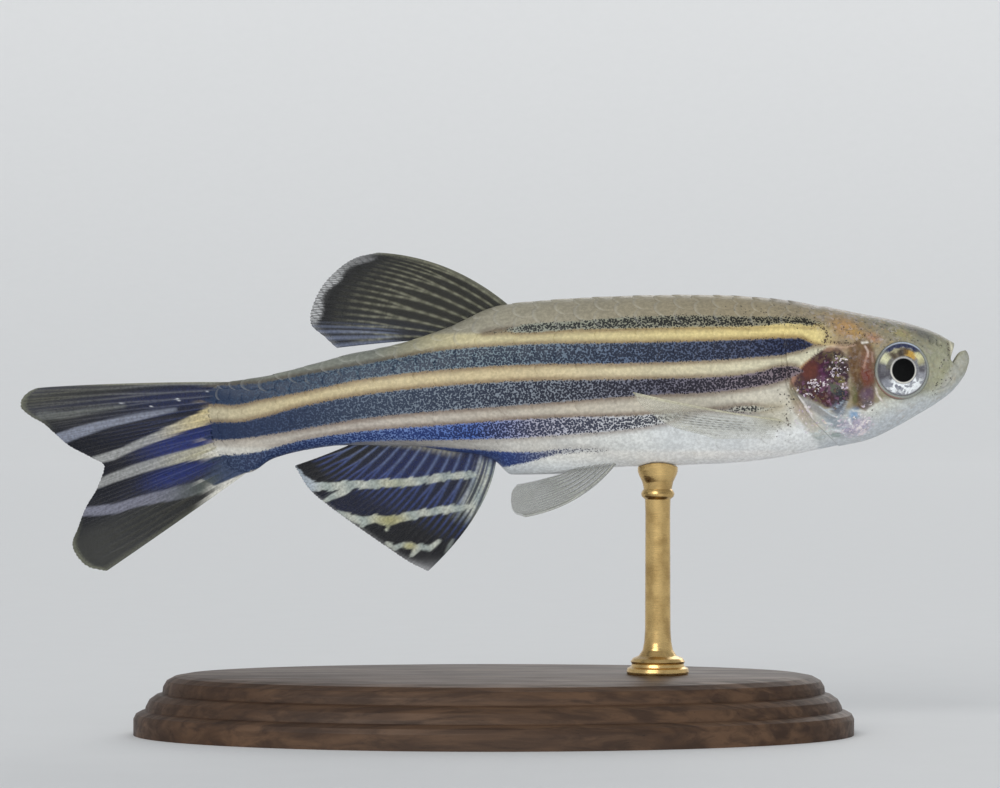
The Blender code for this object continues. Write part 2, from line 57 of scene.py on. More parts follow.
# Rings of the body. Each has its place, the back's x and z, the belly's x and z, the half width, how far the
# flank is shifted in x and z, and how much wider the ring is above its middle than below.
STATIONS = {
    "fin_base": (-13.9, -14.35, 0.52, -13.55, -4.05, 0.10, -0.30, 0.00, 0.00),
    "tail_end": (-12.7, -13.10, 0.68, -12.30, -4.00, 0.46, -0.30, 0.00, 0.00),
    "tail_root": (-11.2, -11.30, 0.98, -11.10, -3.32, 0.74, 0.00, 0.00, 0.00),
    "peduncle_waist": (-9.5, -9.50, 1.42, -9.50, -2.88, 0.95, 0.00, 0.00, 0.00),
    "peduncle_front": (-7.2, -7.20, 2.05, -7.20, -2.62, 1.24, 0.00, 0.00, 0.00),
    "anal_fin_rear": (-4.5, -4.50, 2.62, -4.50, -2.64, 1.60, 0.00, 0.00, 0.02),
    "dorsal_fin_rear": (-2.2, -2.20, 3.42, -2.20, -2.92, 1.90, 0.00, 0.00, 0.04),
    "anal_fin_front": (0.1, 0.10, 4.42, 0.10, -3.42, 2.14, 0.00, 0.00, 0.06),
    "vent": (0.9, 0.90, 4.56, 0.90, -4.08, 2.22, 0.00, 0.00, 0.06),
    "belly_rear": (3.0, 3.00, 4.76, 3.00, -4.05, 2.42, 0.00, 0.00, 0.08),
    "pelvic_root": (6.0, 6.00, 4.93, 6.00, -3.72, 2.58, 0.00, 0.00, 0.08),
    "deepest": (9.5, 9.50, 5.00, 9.50, -3.60, 2.66, -0.10, 0.00, 0.08),
    "shoulder": (13.0, 12.90, 4.90, 13.60, -3.32, 2.66, -0.75, 0.00, 0.08),
    "gill_edge": (15.6, 15.40, 4.62, 17.30, -2.60, 2.50, -1.75, 0.00, 0.10),
    "cheek": (17.5, 17.20, 4.25, 18.90, -2.22, 2.34, -1.15, 0.00, 0.14),
    "eye_rear": (19.0, 18.60, 3.97, 20.15, -1.62, 2.10, -0.60, 0.00, 0.18),
    "eye_middle": (20.2, 19.90, 3.72, 21.20, -1.02, 1.84, -0.25, 0.00, 0.20),
    "eye_front": (21.4, 21.10, 3.42, 22.24, -0.38, 1.42, -0.10, 0.00, 0.18),
    "nostril": (22.3, 21.95, 3.12, 23.04, 0.28, 1.06, -0.12, -0.10, 0.12),
    "snout": (23.0, 22.60, 2.79, 23.62, 1.13, 0.78, -0.30, -0.32, 0.06),
    "lip_crest": (23.5, 23.02, 2.45, 23.77, 1.80, 0.60, -0.56, -0.62, 0.00),
    "lip_rim": (23.85, 22.92, 2.17, 23.56, 2.19, 0.46, -0.40, -0.68, 0.00),
    "mouth_inside": (24.2, 22.76, 1.93, 23.20, 1.74, 0.32, -0.18, -0.38, 0.00),
    "mouth_end": (24.5, 22.62, 1.60, 22.80, 1.40, 0.16, 0.00, 0.00, 0.00),
}
PLACE, BACK_X, BACK_Z, BELLY_X, BELLY_Z, HALF_WIDTH, SIDE_X, SIDE_Z, SHOULDER = range(9)
STATION_TABLE = np.array(list(STATIONS.values()))
FULLNESS = 0.03
TAIL_END, MOUTH_END = STATIONS["fin_base"][PLACE], STATIONS["mouth_end"][PLACE]

# Gill cover, cheek plate and lips, as ridges of the head's surface.
GILL_JOIN = STATIONS["gill_edge"][PLACE]
GILL_RISE = 0.24
GILL_FRONT = 18.3
GILL_TOP = (0.30, 0.44)
GILL_BOTTOM = (0.76, 0.94)
CHEEK_RIDGE = (18.35, 0.07, 0.22, 0.42, 0.92)
LIP = (23.48, 0.05, 0.16, -0.30, 1.30)
LIP_GROOVE = (23.14, -0.04, 0.12, 0.20, 1.10)
RIDGE_FADE = 0.12
LOWER_LIP_PLACE, LOWER_LIP_TURN, LOWER_LIP_RISE = 23.85, 0.80, 0.20

# Skin: lengths of the body with their first and last place and number of rings, and columns in a ring.
SKIN_LENGTHS = (
    (TAIL_END, -12.7, 10),
    (-12.55, 15.1, 120),
    (15.15, 15.54, 10),
    (15.56, 15.70, 8),
    (15.74, 22.3, 150),
    (22.34, MOUTH_END, 54),
)
SKIN_COLUMNS = 256
COAT_DEPTH = 0.06  # how far the skin lies under the scales' own surface

# Scales: pitch along the body and round it, length and height of a plate, how deep its front is sunk, how much
# its rear stands higher than its front, its thickness, and its grid.
SCALE_PITCH = 1.0
SCALE_ROW = 0.98
SCALE_LENGTH = 1.62
SCALE_HEIGHT = 1.34
SCALE_SUNK = 0.056
SCALE_RISE = 0.036
SCALE_THICKNESS = 0.010
SCALE_GRID = (10, 9)
SCALE_PATCH = 0.003
SCALE_FIRST, SCALE_LAST = -12.7, 15.5
SCALE_SIZES = ((-13, 0.60), (-9, 0.84), (-4, 1.0), (12, 1.0), (15, 0.86))  # share of the full size along x

# Eye: centre, radius in the side view, half depth, turn towards the snout, and the sizes of its rings.
EYE_X = 20.20
EYE_Z = 1.18
EYE_Y = 1.52
EYE_RADIUS = 1.25
EYE_HALF_DEPTH = 0.56
EYE_TURN = math.radians(11)
PUPIL_RADIUS = 0.585

# Camera: 50 mm wide at the fish's midplane, 1000 pixels across.
CAMERA_X = 0.3125
CAMERA_Z = 17.0
CAMERA_DISTANCE = 200.0
CAMERA_LENS = 144.0
CAMERA_SENSOR = 36.0

# Studio: strength of the sky, and the soft lights with their strength, width in degrees and where they come from.
WORLD_STRENGTH = 0.50
LIGHTS = {
    "key": (1.20, 36, (-0.35, -0.80, 0.50)),
    "low_front": (0.95, 50, (0.10, -0.90, -0.38)),
    "back": (0.80, 40, (0.30, 0.85, 0.35)),
    "low_back": (0.50, 50, (-0.10, 0.90, -0.35)),
}
FLOOR_RADIUS = 0.8  # metres, to where the floor starts to bend upwards
BEND_RADIUS = 0.5

# Stand.
BASE_LENGTH = 36.0
BASE_WIDTH = 20.0
BASE_HEIGHT = 3.0
ROD_X = 8.2


def smooth_curve(knots, values, at):
    """Cubic through the knots that never passes beyond the values it joins."""
    knots = np.asarray(knots, float)
    values = np.asarray(values, float)
    at = np.clip(np.asarray(at, float), knots[0], knots[-1])
    span = np.diff(knots)
    slope = np.diff(values) / span
    tangent = np.zeros_like(values)
    tangent[0], tangent[-1] = slope[0], slope[-1]
    before, after = slope[:-1], slope[1:]
    mean = (before * span[1:] + after * span[:-1]) / (span[1:] + span[:-1])
    limit = 3 * np.minimum(abs(before), abs(after))
    tangent[1:-1] = np.where(before * after > 0, np.clip(mean, -limit, limit), 0)
    i = np.clip(np.searchsorted(knots, at, side="right") - 1, 0, len(span) - 1)
    s = (at - knots[i]) / span[i]
    return (
        values[i] * (1 + 2 * s) * (1 - s) ** 2
        + tangent[i] * span[i] * s * (1 - s) ** 2
        + values[i + 1] * s**2 * (3 - 2 * s)
        + tangent[i + 1] * span[i] * s**2 * (s - 1)
    )


def smooth_step(low, high, value):
    share = np.clip((value - low) / (high - low), 0, 1)
    return share**2 * (3 - 2 * share)


def station(column, place):
    """One size of the body's rings at any place along it."""
    return smooth_curve(STATION_TABLE[:, PLACE], STATION_TABLE[:, column], place)


def swing(x):
    """How far the tail's swing carries a point at x to the fish's left."""
    share = np.clip((SWING_START - x) / (SWING_START - TAIL_TIP_X), 0, None)
    return TAIL_SWING * share**2


def ring(place, turn):
    """Points of the body's surface at a place, for turns from the back (0) round the right side to pi."""
    back_x, back_z = station(BACK_X, place), station(BACK_Z, place)
    belly_x, belly_z = station(BELLY_X, place), station(BELLY_Z, place)
    down = (1 - np.cos(turn)) / 2
    across = np.sin(turn) ** 2
    fullness = (np.sin(turn) + FULLNESS * np.sin(3 * turn)) / (1 - FULLNESS)
    wider_above = 1 + station(SHOULDER, place) * np.cos(turn)
    x = back_x + (belly_x - back_x) * down + station(SIDE_X, place) * across
    y = -station(HALF_WIDTH, place) * fullness * wider_above
    z = back_z + (belly_z - back_z) * down + station(SIDE_Z, place) * across
    lower_lip = np.exp(-(((np.abs(np.mod(turn, 2 * math.pi) - math.pi) - LOWER_LIP_TURN) / 0.42) ** 2))
    z = z + LOWER_LIP_RISE * lower_lip * np.exp(-(((place - LOWER_LIP_PLACE) / 0.32) ** 2))
    return x, y, z


def head_relief(place, turn):
    """How far the gill cover, the cheek plate's edge and the lips stand out of the head's surface."""
    down = (1 - np.cos(turn)) / 2
    forward = 1 - smooth_step(GILL_JOIN, GILL_FRONT, place)
    rise = GILL_RISE * forward * smooth_step(*GILL_TOP, down) * (1 - smooth_step(*GILL_BOTTOM, down))
    rise = rise * smooth_step(GILL_JOIN - 0.05, GILL_JOIN, place)
    for crest, height, half_length, top, bottom in (CHEEK_RIDGE, LIP, LIP_GROOVE):
        within = smooth_step(top, top + RIDGE_FADE, down)
        within = within * (1 - smooth_step(bottom - RIDGE_FADE, bottom, down))
        rise = rise + height * within * np.exp(-(((place - crest) / half_length) ** 2))
    return rise


def linear(*srgb):
    """A linear colour from sRGB values of 0 to 255."""
    value = np.array(srgb, float) / 255
    return np.where(value <= 0.04045, value / 12.92, ((value + 0.055) / 1.055) ** 2.4)


def mix(first, second, share):
    share = np.asarray(share)[..., None]
    return first * (1 - share) + second * share


def along(table, x):
    """A value or a colour that changes along x, from (x, value...) rows."""
    table = np.array(table, float)
    columns = [np.interp(x, table[:, 0], table[:, k]) for k in range(1, table.shape[1])]
    return columns[0] if len(columns) == 1 else np.stack(columns, axis=-1)


def colours(*rows):
    """Rows of x and an sRGB colour, as a table of linear colours."""
    return [(x, *linear(*rgb)) for x, rgb in rows]


def distance_to_line(x, z, points):
    """Distance in the side view from points to a line through others."""
    nearest = np.full(np.shape(x), np.inf)
    for (ax, az), (bx, bz) in zip(points, points[1:]):
        length = (bx - ax) ** 2 + (bz - az) ** 2
        t = np.clip(((x - ax) * (bx - ax) + (z - az) * (bz - az)) / length, 0, 1)
        nearest = np.minimum(nearest, np.hypot(x - ax - t * (bx - ax), z - az - t * (bz - az)))
    return nearest


def patch(x, z, centre, radii, turn=0.0, soft=0.5):
    """1 inside an ellipse in the side view, fading to 0 over the soft share of its radius."""
    c, s = math.cos(math.radians(turn)), math.sin(math.radians(turn))
    u = ((x - centre[0]) * c + (z - centre[1]) * s) / radii[0]
    v = (-(x - centre[0]) * s + (z - centre[1]) * c) / radii[1]
    return 1 - smooth_step(1 - soft, 1 + soft, np.hypot(u, v))


# Dark stripes of the flank from the back down, as (x, top z, bottom z). Where the top is below the bottom
# there is no stripe.
STRIPES = {
    "first": (
        (-0.5, 2.95, 3.05), (0.6, 3.17, 3.13), (1.3, 3.36, 3.06), (4.0, 3.58, 3.22), (7.0, 3.80, 3.28),
        (10.0, 3.86, 3.34), (12.8, 3.82, 3.38), (14.6, 3.80, 3.50), (15.8, 3.66, 3.44), (16.2, 3.50, 3.50),
        (16.6, 3.35, 3.50),
    ),
    "second": (
        (-14.4, 0.30, -0.42), (-13.0, 0.44, -0.52), (-11.8, 0.50, -0.28), (-9.9, 0.84, 0.06), (-6.6, 1.42, 0.76),
        (-2.7, 2.10, 1.22), (1.3, 2.40, 1.48), (7.0, 2.50, 1.56), (12.6, 2.66, 1.82), (14.5, 2.74, 2.02),
        (15.3, 2.68, 2.22), (15.75, 2.45, 2.42), (16.2, 2.30, 2.50),
    ),
    "third": (
        (-14.4, -1.45, -2.30), (-13.0, -1.46, -2.24), (-11.8, -1.26, -2.10), (-9.9, -0.74, -1.78),
        (-6.6, -0.10, -1.20), (-2.7, 0.34, -0.80), (1.3, 0.60, -0.52), (7.0, 0.70, -0.06), (12.6, 0.96, 0.34),
        (14.4, 1.34, 0.74), (14.9, 1.30, 0.95),
    ),
    "fourth": (
        (-14.0, -3.15, -4.6), (-11.8, -2.92, -3.7), (-9.9, -2.42, -3.1), (-6.6, -1.90, -2.36),
        (-2.7, -1.60, -2.26), (1.3, -1.30, -2.14), (4.0, -1.18, -1.95), (7.0, -1.10, -1.66), (8.6, -1.0, -1.35),
        (9.6, -0.95, -0.98), (10.5, -0.85, -0.80), (11.6, -0.72, -0.82), (12.7, -0.62, -0.88),
        (13.5, -0.70, -0.76), (14.2, -0.75, -0.60),
    ),
    "fifth": (
        (-5.0, -2.72, -2.66), (-3.5, -2.66, -2.85), (-1.2, -2.78, -3.40), (-0.1, -2.86, -3.66),
        (1.3, -2.92, -3.46), (2.2, -2.90, -3.22), (3.2, -2.78, -2.98), (4.4, -2.74, -2.86), (5.6, -2.82, -2.82),
    ),
}

# Colour of the skin between the stripes, from the back down, along x.
BACK = colours((-13, (122, 132, 136)), (-8, (146, 146, 136)), (0, (158, 154, 138)), (12, (156, 146, 122)))
YELLOW = colours((-6, (134, 138, 130)), (-2, (196, 188, 152)), (6, (214, 200, 150)), (14, (234, 216, 150)))
PALE = colours((-14, (184, 176, 150)), (-10, (202, 188, 150)), (2, (208, 193, 156)), (14, (216, 212, 186)))
THIRD_PALE = colours((-14, (180, 176, 168)), (-6, (194, 187, 178)), (4, (194, 187, 173)), (12, (204, 200, 186)))
FOURTH_PALE = colours(
    (-14, (96, 108, 132)), (-9, (110, 122, 150)), (-4, (184, 184, 182)), (2, (206, 206, 202)),
    (6, (220, 224, 224)), (10, (234, 240, 244)), (14, (236, 240, 242)),
)
BELLY = colours((-4, (206, 206, 200)), (3, (234, 236, 233)), (12, (249, 250, 250)), (18, (240, 242, 244)))
LOW_BELLY = colours((-4, (176, 188, 200)), (4, (240, 247, 252)), (18, (236, 242, 249)))

# Colour of the stripes' dark cells, along x.
DARK_TONES = {
    "first": colours((0, (26, 30, 34)), (14, (20, 20, 20))),
    "second": colours((-14, (30, 46, 74)), (-10, (32, 48, 72)), (-6, (36, 52, 74)), (-2, (26, 40, 62)),
                      (15, (12, 16, 40))),
    "third": colours((-14, (28, 42, 74)), (-10, (32, 45, 72)), (-6, (44, 56, 78)), (-2, (36, 46, 68)), (3, (18, 22, 42)),
                     (15, (30, 24, 36))),
    "fourth": colours((-14, (36, 48, 74)), (-10, (36, 50, 90)), (-4, (42, 60, 118)), (0, (30, 38, 74)),
                      (4, (40, 46, 70)), (13, (34, 36, 40))),
    "fifth": colours((-4, (38, 54, 106)), (0.5, (44, 60, 116)), (2.2, (60, 70, 106)), (5, (92, 92, 98))),
}
# Colour of the skin beneath the dark cells, along x. Towards the tail it is nearly as dark as they are.
UNDER = {
    "first": colours((0, (142, 148, 138)), (14, (136, 132, 112))),
    "second": colours((-14, (38, 56, 84)), (-10, (54, 76, 100)), (-6, (88, 108, 124)), (0, (112, 130, 141)),
                      (6, (88, 104, 130)), (12, (72, 82, 110)), (15, (52, 62, 96))),
    "third": colours((-14, (38, 54, 86)), (-10, (58, 74, 104)), (-6, (100, 114, 132)), (-2, (122, 134, 148)),
                     (3, (126, 134, 146)), (8, (108, 108, 126)), (15, (126, 112, 120))),
    "fourth": colours((-14, (62, 76, 100)), (-10, (78, 98, 140)), (-5, (112, 138, 194)), (-1, (84, 116, 192)), (2, (164, 165, 186)),
                      (6, (192, 196, 204)), (8, (206, 210, 214)), (13, (184, 184, 172))),
    "fifth": colours((-4, (66, 92, 152)), (1, (78, 100, 154)), (2.2, (128, 138, 168)), (3.2, (186, 190, 196)),
                     (5, (206, 210, 212))),
}
CHEST = linear(186, 180, 156)
CROWN = linear(100, 97, 92)
MARGIN_TINT = linear(158, 142, 136)
MARGIN_WIDTH = 0.34  # duller border of each pale stripe
LINE_SHADE = 0.72  # how much darker the skin is along the head's dotted lines
SKIN_GAIN = (0.93, 0.92, 0.90)  # the whole coat's reflection under the studio's light


def stripe_fields(x, z):
    """Signed distance into the dark stripes (mm, positive inside), their colour, and the stripes' middles."""
    dark = np.full(np.shape(x), -9.0)
    tone = np.zeros((*np.shape(x), 3))
    under = np.zeros((*np.shape(x), 3))
    middles = []
    for name, rows in STRIPES.items():
        table = np.array(rows)
        top, bottom = (smooth_curve(table[:, 0], table[:, k], x) for k in (1, 2))
        beyond = np.maximum(table[0, 0] - x, x - table[-1, 0])
        depth = np.minimum(top - z, z - bottom) - 0.5 * np.clip(beyond, 0, None)
        tone = np.where((depth > dark)[..., None], along(DARK_TONES[name], x), tone)
        under = np.where((depth > dark)[..., None], along(UNDER[name], x), under)
        dark = np.maximum(dark, depth)
        middles.append((top + bottom) / 2)
    return dark, tone, under, middles


def body_ground(x, z, middles):
    """Colour of the skin between the stripes."""
    ground = along(BACK, x)
    bands = (YELLOW, PALE, THIRD_PALE, FOURTH_PALE, BELLY)
    for band, middle in zip(bands, middles):
        ground = mix(ground, along(band, x), smooth_step(0.10, -0.10, z - middle))
    return mix(ground, along(LOW_BELLY, x), smooth_step(-2.9, -3.9, z) * smooth_step(-2, 1, x))


def markings(x, z):
    """Colours and fields of skin and scales at points of the side view."""
    dark, tone, under, middles = stripe_fields(x, z)
    ground = body_ground(x, z, middles)
    margin = smooth_step(MARGIN_WIDTH, 0.08, -dark) * smooth_step(-3.4, -1.2, z) * smooth_step(3.5, 3.2, z)
    ground = mix(ground, ground * MARGIN_TINT, margin * 0.85)
    ground = mix(ground, CHEST, patch(x, z, (14.0, -1.05), (1.1, 0.60), -6, 0.6) * 0.75)
    on_head = smooth_step(16.0, 17.4, x + 0.25 * (z - 2))
    head, gill, glint = head_colours(x, z)
    crown = smooth_step(0.42, 0.06, station(BACK_Z, x) - z) * smooth_step(12.0, 15.0, x)
    ground = mix(ground, head, np.maximum(on_head, cover_mask(x, z)))
    ground = mix(ground, CROWN, crown * 0.7)
    lines = fine_dark_lines(x, z)
    under = np.where((lines > dark)[..., None], ground * LINE_SHADE, under)
    tone = np.where((lines > dark)[..., None], linear(74, 60, 52), tone)
    dark = np.maximum(dark, lines)
    fields = {"ground": ground, "tone": tone, "under": under, "dark": dark, "gill": gill, "glint": glint}
    fields["freckle"] = freckle_share(x, z)
    fields["head"] = on_head
    nape = smooth_step(14.2, 16.2, x) * smooth_step(21.8, 19.8, x) * smooth_step(2.3, 2.8, z + 0.3 * (x - 18))
    fields["mottle"] = np.maximum(nape * (1 - stripe_share(dark)), 0.22 * on_head * (1 - gill))
    return fields


def stripe_share(dark):
    return smooth_step(-0.12, -0.02, dark)


def cover_mask(x, z):
    """1 on the gill cover, in front of its rear edge in the side view."""
    edge = smooth_curve((-2.6, -1.0, 0.2, 1.0, 1.8, 2.4), (16.2, 14.95, 14.6, 14.8, 15.7, 16.6), z)
    return smooth_step(-0.05, 0.05, x - edge) * smooth_step(2.6, 2.2, z)


# Outlines of the head's dark gill patch and of the warm band behind the eye, in the side view.
GILL_PATCH = (
    (15.20, 1.30), (15.64, 1.73), (16.14, 2.10), (17.10, 2.14), (17.54, 1.68), (17.60, 0.84), (17.50, 0.45),
    (17.57, -0.15), (17.37, -0.62), (16.98, -0.66), (16.28, -0.49), (15.69, -0.25), (15.15, 0.05),
    (14.92, 0.45), (14.97, 0.94),
)
EYE_BAND = (
    (17.56, 2.44), (18.05, 2.62), (18.60, 2.62), (18.84, 2.20), (18.92, 1.20), (18.90, 0.35), (18.80, -0.45),
    (18.45, -0.76), (18.02, -0.76), (17.78, -0.30), (17.66, 0.80), (17.54, 1.60),
)
# Colour patches of the head: centre, radii, turn in degrees, colour, strength and softness.
HEAD_PATCHES = (
    ("nape_tan", (17.2, 3.25), (2.1, 0.85), -14, (160, 142, 112), 0.85, 0.6),
    ("orange_nape", (17.45, 3.28), (0.75, 0.42), -20, (178, 142, 98), 0.9, 0.6),
    ("yellow_spot", (17.90, 3.10), (0.36, 0.20), -30, (192, 154, 86), 0.8, 0.9),
    ("orange_temple", (18.80, 2.80), (0.36, 0.20), -20, (182, 122, 92), 0.6, 0.8),
    ("behind_stripe", (16.1, 2.30), (0.95, 0.30), 10, (150, 122, 102), 0.8, 0.6),
    ("cover_top", (16.2, 2.25), (1.3, 0.26), 0, (146, 112, 92), 0.8, 0.7),
    ("forehead_grey", (20.2, 3.35), (1.9, 0.55), -14, (134, 134, 118), 0.7, 0.7),
    ("forehead_yellow", (20.25, 3.00), (0.55, 0.22), -14, (168, 160, 112), 0.7, 0.7),
    ("snout_dark", (21.35, 2.98), (0.75, 0.18), -24, (104, 106, 102), 0.8, 0.6),
    ("before_eye", (22.1, 1.3), (0.80, 1.25), -15, (164, 166, 142), 0.8, 0.6),
    ("upper_lip", (22.90, 2.10), (0.14, 0.45), 8, (206, 204, 184), 0.9, 0.5),
    ("mouth_corner", (22.55, 1.0), (0.30, 0.45), 0, (146, 148, 120), 0.7, 0.6),
    ("lower_jaw", (23.05, 1.15), (1.15, 0.34), 52, (184, 186, 180), 0.75, 0.6),
    ("gill_pink_edge", (14.78, 0.88), (0.30, 0.55), 12, (152, 108, 92), 0.85, 0.6),
    ("chest_tan", (14.6, -0.75), (0.8, 0.7), 0, (182, 172, 150), 0.8, 0.6),
    ("chest_pink", (15.3, -0.85), (0.5, 0.5), -40, (188, 170, 158), 0.7, 0.6),
)
GILL_PATCHES = (
    ("smooth_red", (15.62, 1.15), (0.50, 0.48), 30, (112, 58, 48), 1.0, 0.6),
    ("brown_left", (15.05, 0.62), (0.28, 0.40), 20, (92, 62, 60), 0.9, 0.6),
    ("magenta", (16.38, 1.16), (0.34, 0.36), 0, (82, 22, 72), 0.95, 0.6),
    ("lilac", (16.30, 0.66), (0.30, 0.22), 0, (126, 84, 116), 0.8, 0.7),
    ("top_olive", (16.68, 1.98), (0.60, 0.20), -8, (104, 92, 66), 0.95, 0.6),
    ("top_dark", (16.95, 1.30), (0.50, 0.30), -10, (48, 36, 38), 0.95, 0.5),
    ("top_pale", (17.15, 1.70), (0.34, 0.18), 10, (190, 188, 146), 0.95, 0.6),
    ("yellow_green", (17.12, 0.74), (0.24, 0.16), 0, (160, 160, 70), 0.9, 0.6),
    ("grey_green", (16.78, 0.30), (0.32, 0.32), 0, (108, 118, 102), 0.85, 0.7),
    ("pale_pink", (17.38, 0.40), (0.20, 0.16), 0, (212, 190, 182), 0.9, 0.6),
    ("slate", (17.16, -0.15), (0.36, 0.42), -30, (48, 58, 70), 0.95, 0.5),
    ("low_red", (16.30, -0.12), (0.66, 0.30), -25, (84, 42, 48), 0.95, 0.6),
)
EYE_BAND_PATCHES = (
    ("warm_top", (18.1, 2.2), (0.60, 0.40), 0, (136, 108, 78), 1.0, 0.6),
    ("warm_middle", (17.90, 1.30), (0.30, 0.80), 5, (122, 90, 58), 1.0, 0.6),
    ("rose", (18.45, 1.65), (0.30, 0.50), 0, (144, 96, 76), 0.9, 0.8),
    ("red", (18.46, 0.85), (0.32, 0.42), 0, (134, 60, 48), 1.0, 0.8),
    ("brown_low", (18.10, 0.10), (0.22, 0.75), 4, (98, 74, 52), 1.0, 0.5),
    ("purple", (18.52, -0.05), (0.36, 0.40), 0, (118, 92, 112), 1.0, 0.5),
    ("grey_low", (18.58, -0.50), (0.34, 0.26), 0, (120, 112, 116), 0.9, 0.5),
    ("olive", (17.80, -0.05), (0.18, 0.55), 5, (118, 118, 72), 1.0, 0.5),
)
LOW_PATCHES = (
    ("grey_ridge", (15.95, -0.62), (1.15, 0.20), -31, (150, 150, 150), 0.95, 0.5),
    ("blue_grey", (16.9, -1.35), (0.7, 0.3), -15, (140, 154, 168), 0.8, 0.6),
    ("slate_low", (17.08, -0.72), (0.40, 0.30), -35, (100, 110, 128), 0.85, 0.6),
    ("lilac", (17.90, -1.60), (0.75, 0.40), 12, (166, 158, 186), 0.85, 0.6),
    ("light_blue", (17.86, -0.98), (0.26, 0.30), -20, (126, 162, 202), 0.85, 0.7),
    ("low_green", (17.02, -2.02), (0.36, 0.12), 0, (136, 152, 148), 0.8, 0.6),
    ("low_teal", (15.80, -2.20), (0.65, 0.12), 5, (152, 164, 162), 0.7, 0.6),
    ("cover_tan", (15.45, -1.35), (0.75, 0.55), -30, (188, 180, 164), 0.65, 0.7),
)
# Thin pale lines that catch the light on the head: half width, colour, strength and points.
LIGHT_LINES = (
    (0.045, (240, 236, 226), 0.95, ((18.22, 2.54), (18.50, 2.56))),
    (0.045, (226, 206, 196), 0.75, ((18.38, 2.36), (18.52, 2.10), (18.50, 1.86))),
    (0.042, (206, 164, 146), 0.60, ((18.50, 2.00), (18.40, 1.70), (18.30, 1.30))),
    (0.040, (206, 176, 164), 0.35, ((18.72, 2.05), (18.74, 1.60))),
    (0.040, (226, 224, 222), 0.8, ((15.02, -0.02), (15.30, -0.32), (15.62, -0.80), (15.80, -1.12))),
    (0.030, (204, 214, 222), 0.7, ((16.12, -0.54), (16.60, -0.88), (17.00, -1.10), (17.45, -1.16))),
    (0.042, (186, 200, 216), 0.55, ((16.45, -0.70), (16.9, -0.62), (17.30, -0.34))),
    (0.042, (186, 200, 216), 0.55, ((17.05, -1.05), (17.28, -0.76), (17.48, -0.36))),
    (0.040, (232, 226, 224), 0.8, ((18.92, 0.30), (19.02, -0.05), (19.25, -0.32))),
    (0.040, (226, 228, 224), 0.7, ((17.78, -0.80), (18.20, -0.86), (18.85, -0.80))),
    (0.055, (246, 240, 248), 0.95, ((18.02, -1.78), (18.30, -1.48))),
    (0.050, (240, 232, 240), 0.9, ((18.15, -2.02), (18.50, -1.86))),
    (0.055, (240, 244, 248), 0.9, ((17.62, -1.22), (17.72, -1.50), (17.86, -1.62))),
    (0.050, (236, 242, 248), 0.85, ((16.85, -1.72), (17.12, -1.80), (17.45, -1.94))),
    (0.050, (226, 232, 236), 0.8, ((16.50, -1.34), (16.74, -1.42))),
    (0.045, (230, 234, 240), 0.7, ((17.10, -1.86), (17.30, -1.62), (17.60, -1.50))),
    (0.045, (240, 226, 212), 0.8, ((16.28, -1.18), (16.44, -1.36))),
    (0.042, (236, 222, 208), 0.7, ((15.90, -1.50), (16.05, -1.62))),
    (0.030, (196, 214, 222), 0.6, ((14.9, -2.02), (15.9, -1.96), (16.9, -1.70), (17.7, -1.62))),
    (0.028, (196, 208, 214), 0.5, ((15.3, -2.22), (16.5, -2.12), (17.5, -1.95))),
    (0.042, (214, 182, 158), 0.50, ((16.0, 2.30), (16.7, 2.38), (17.2, 2.30), (17.9, 2.42))),
    (0.042, (206, 164, 118), 0.65, ((15.12, 1.27), (15.36, 1.52), (15.62, 1.74))),
    (0.045, (226, 222, 198), 0.9, ((22.78, 2.62), (22.86, 2.25), (22.82, 1.80))),
)
UPPER_HEAD = colours((14, (150, 146, 122)), (18, (152, 142, 118)), (21, (150, 150, 130)), (23, (160, 160, 138)))
LOWER_HEAD = colours((14, (204, 208, 204)), (18, (214, 218, 214)), (21, (206, 210, 200)), (24, (170, 172, 158)))
THROAT = linear(196, 204, 214)


def polygon_depth(x, z, corners):
    """Distance into a polygon of the side view, negative outside it."""
    inside = np.zeros(np.shape(x), bool)
    for (ax, az), (bx, bz) in zip(corners, corners[1:] + corners[:1]):
        crosses = (az > z) != (bz > z)
        inside ^= crosses & (x < ax + (z - az) * (bx - ax) / (bz - az if bz != az else 1))
    away = distance_to_line(x, z, corners + corners[:1])
    return np.where(inside, away, -away)


def paint(colour, patches, x, z, within=1.0):
    for _, centre, radii, turn, rgb, strength, soft in patches:
        colour = mix(colour, linear(*rgb), patch(x, z, centre, radii, turn, soft) * strength * within)
    return colour


def waver(x, z):
    """A smooth irregular value, mostly between -1 and 1, over the side view."""
    total = np.zeros(np.shape(x))
    for k, (a, b) in enumerate(WAVES):
        total += np.sin(a * x + b * z + 1.7 * k) / (1 + 0.6 * k)
    return total / 2.0


WAVES = ((5.1, 3.7), (-7.9, 6.3), (11.3, -12.9), (19.0, 17.2), (-29.0, 31.0))


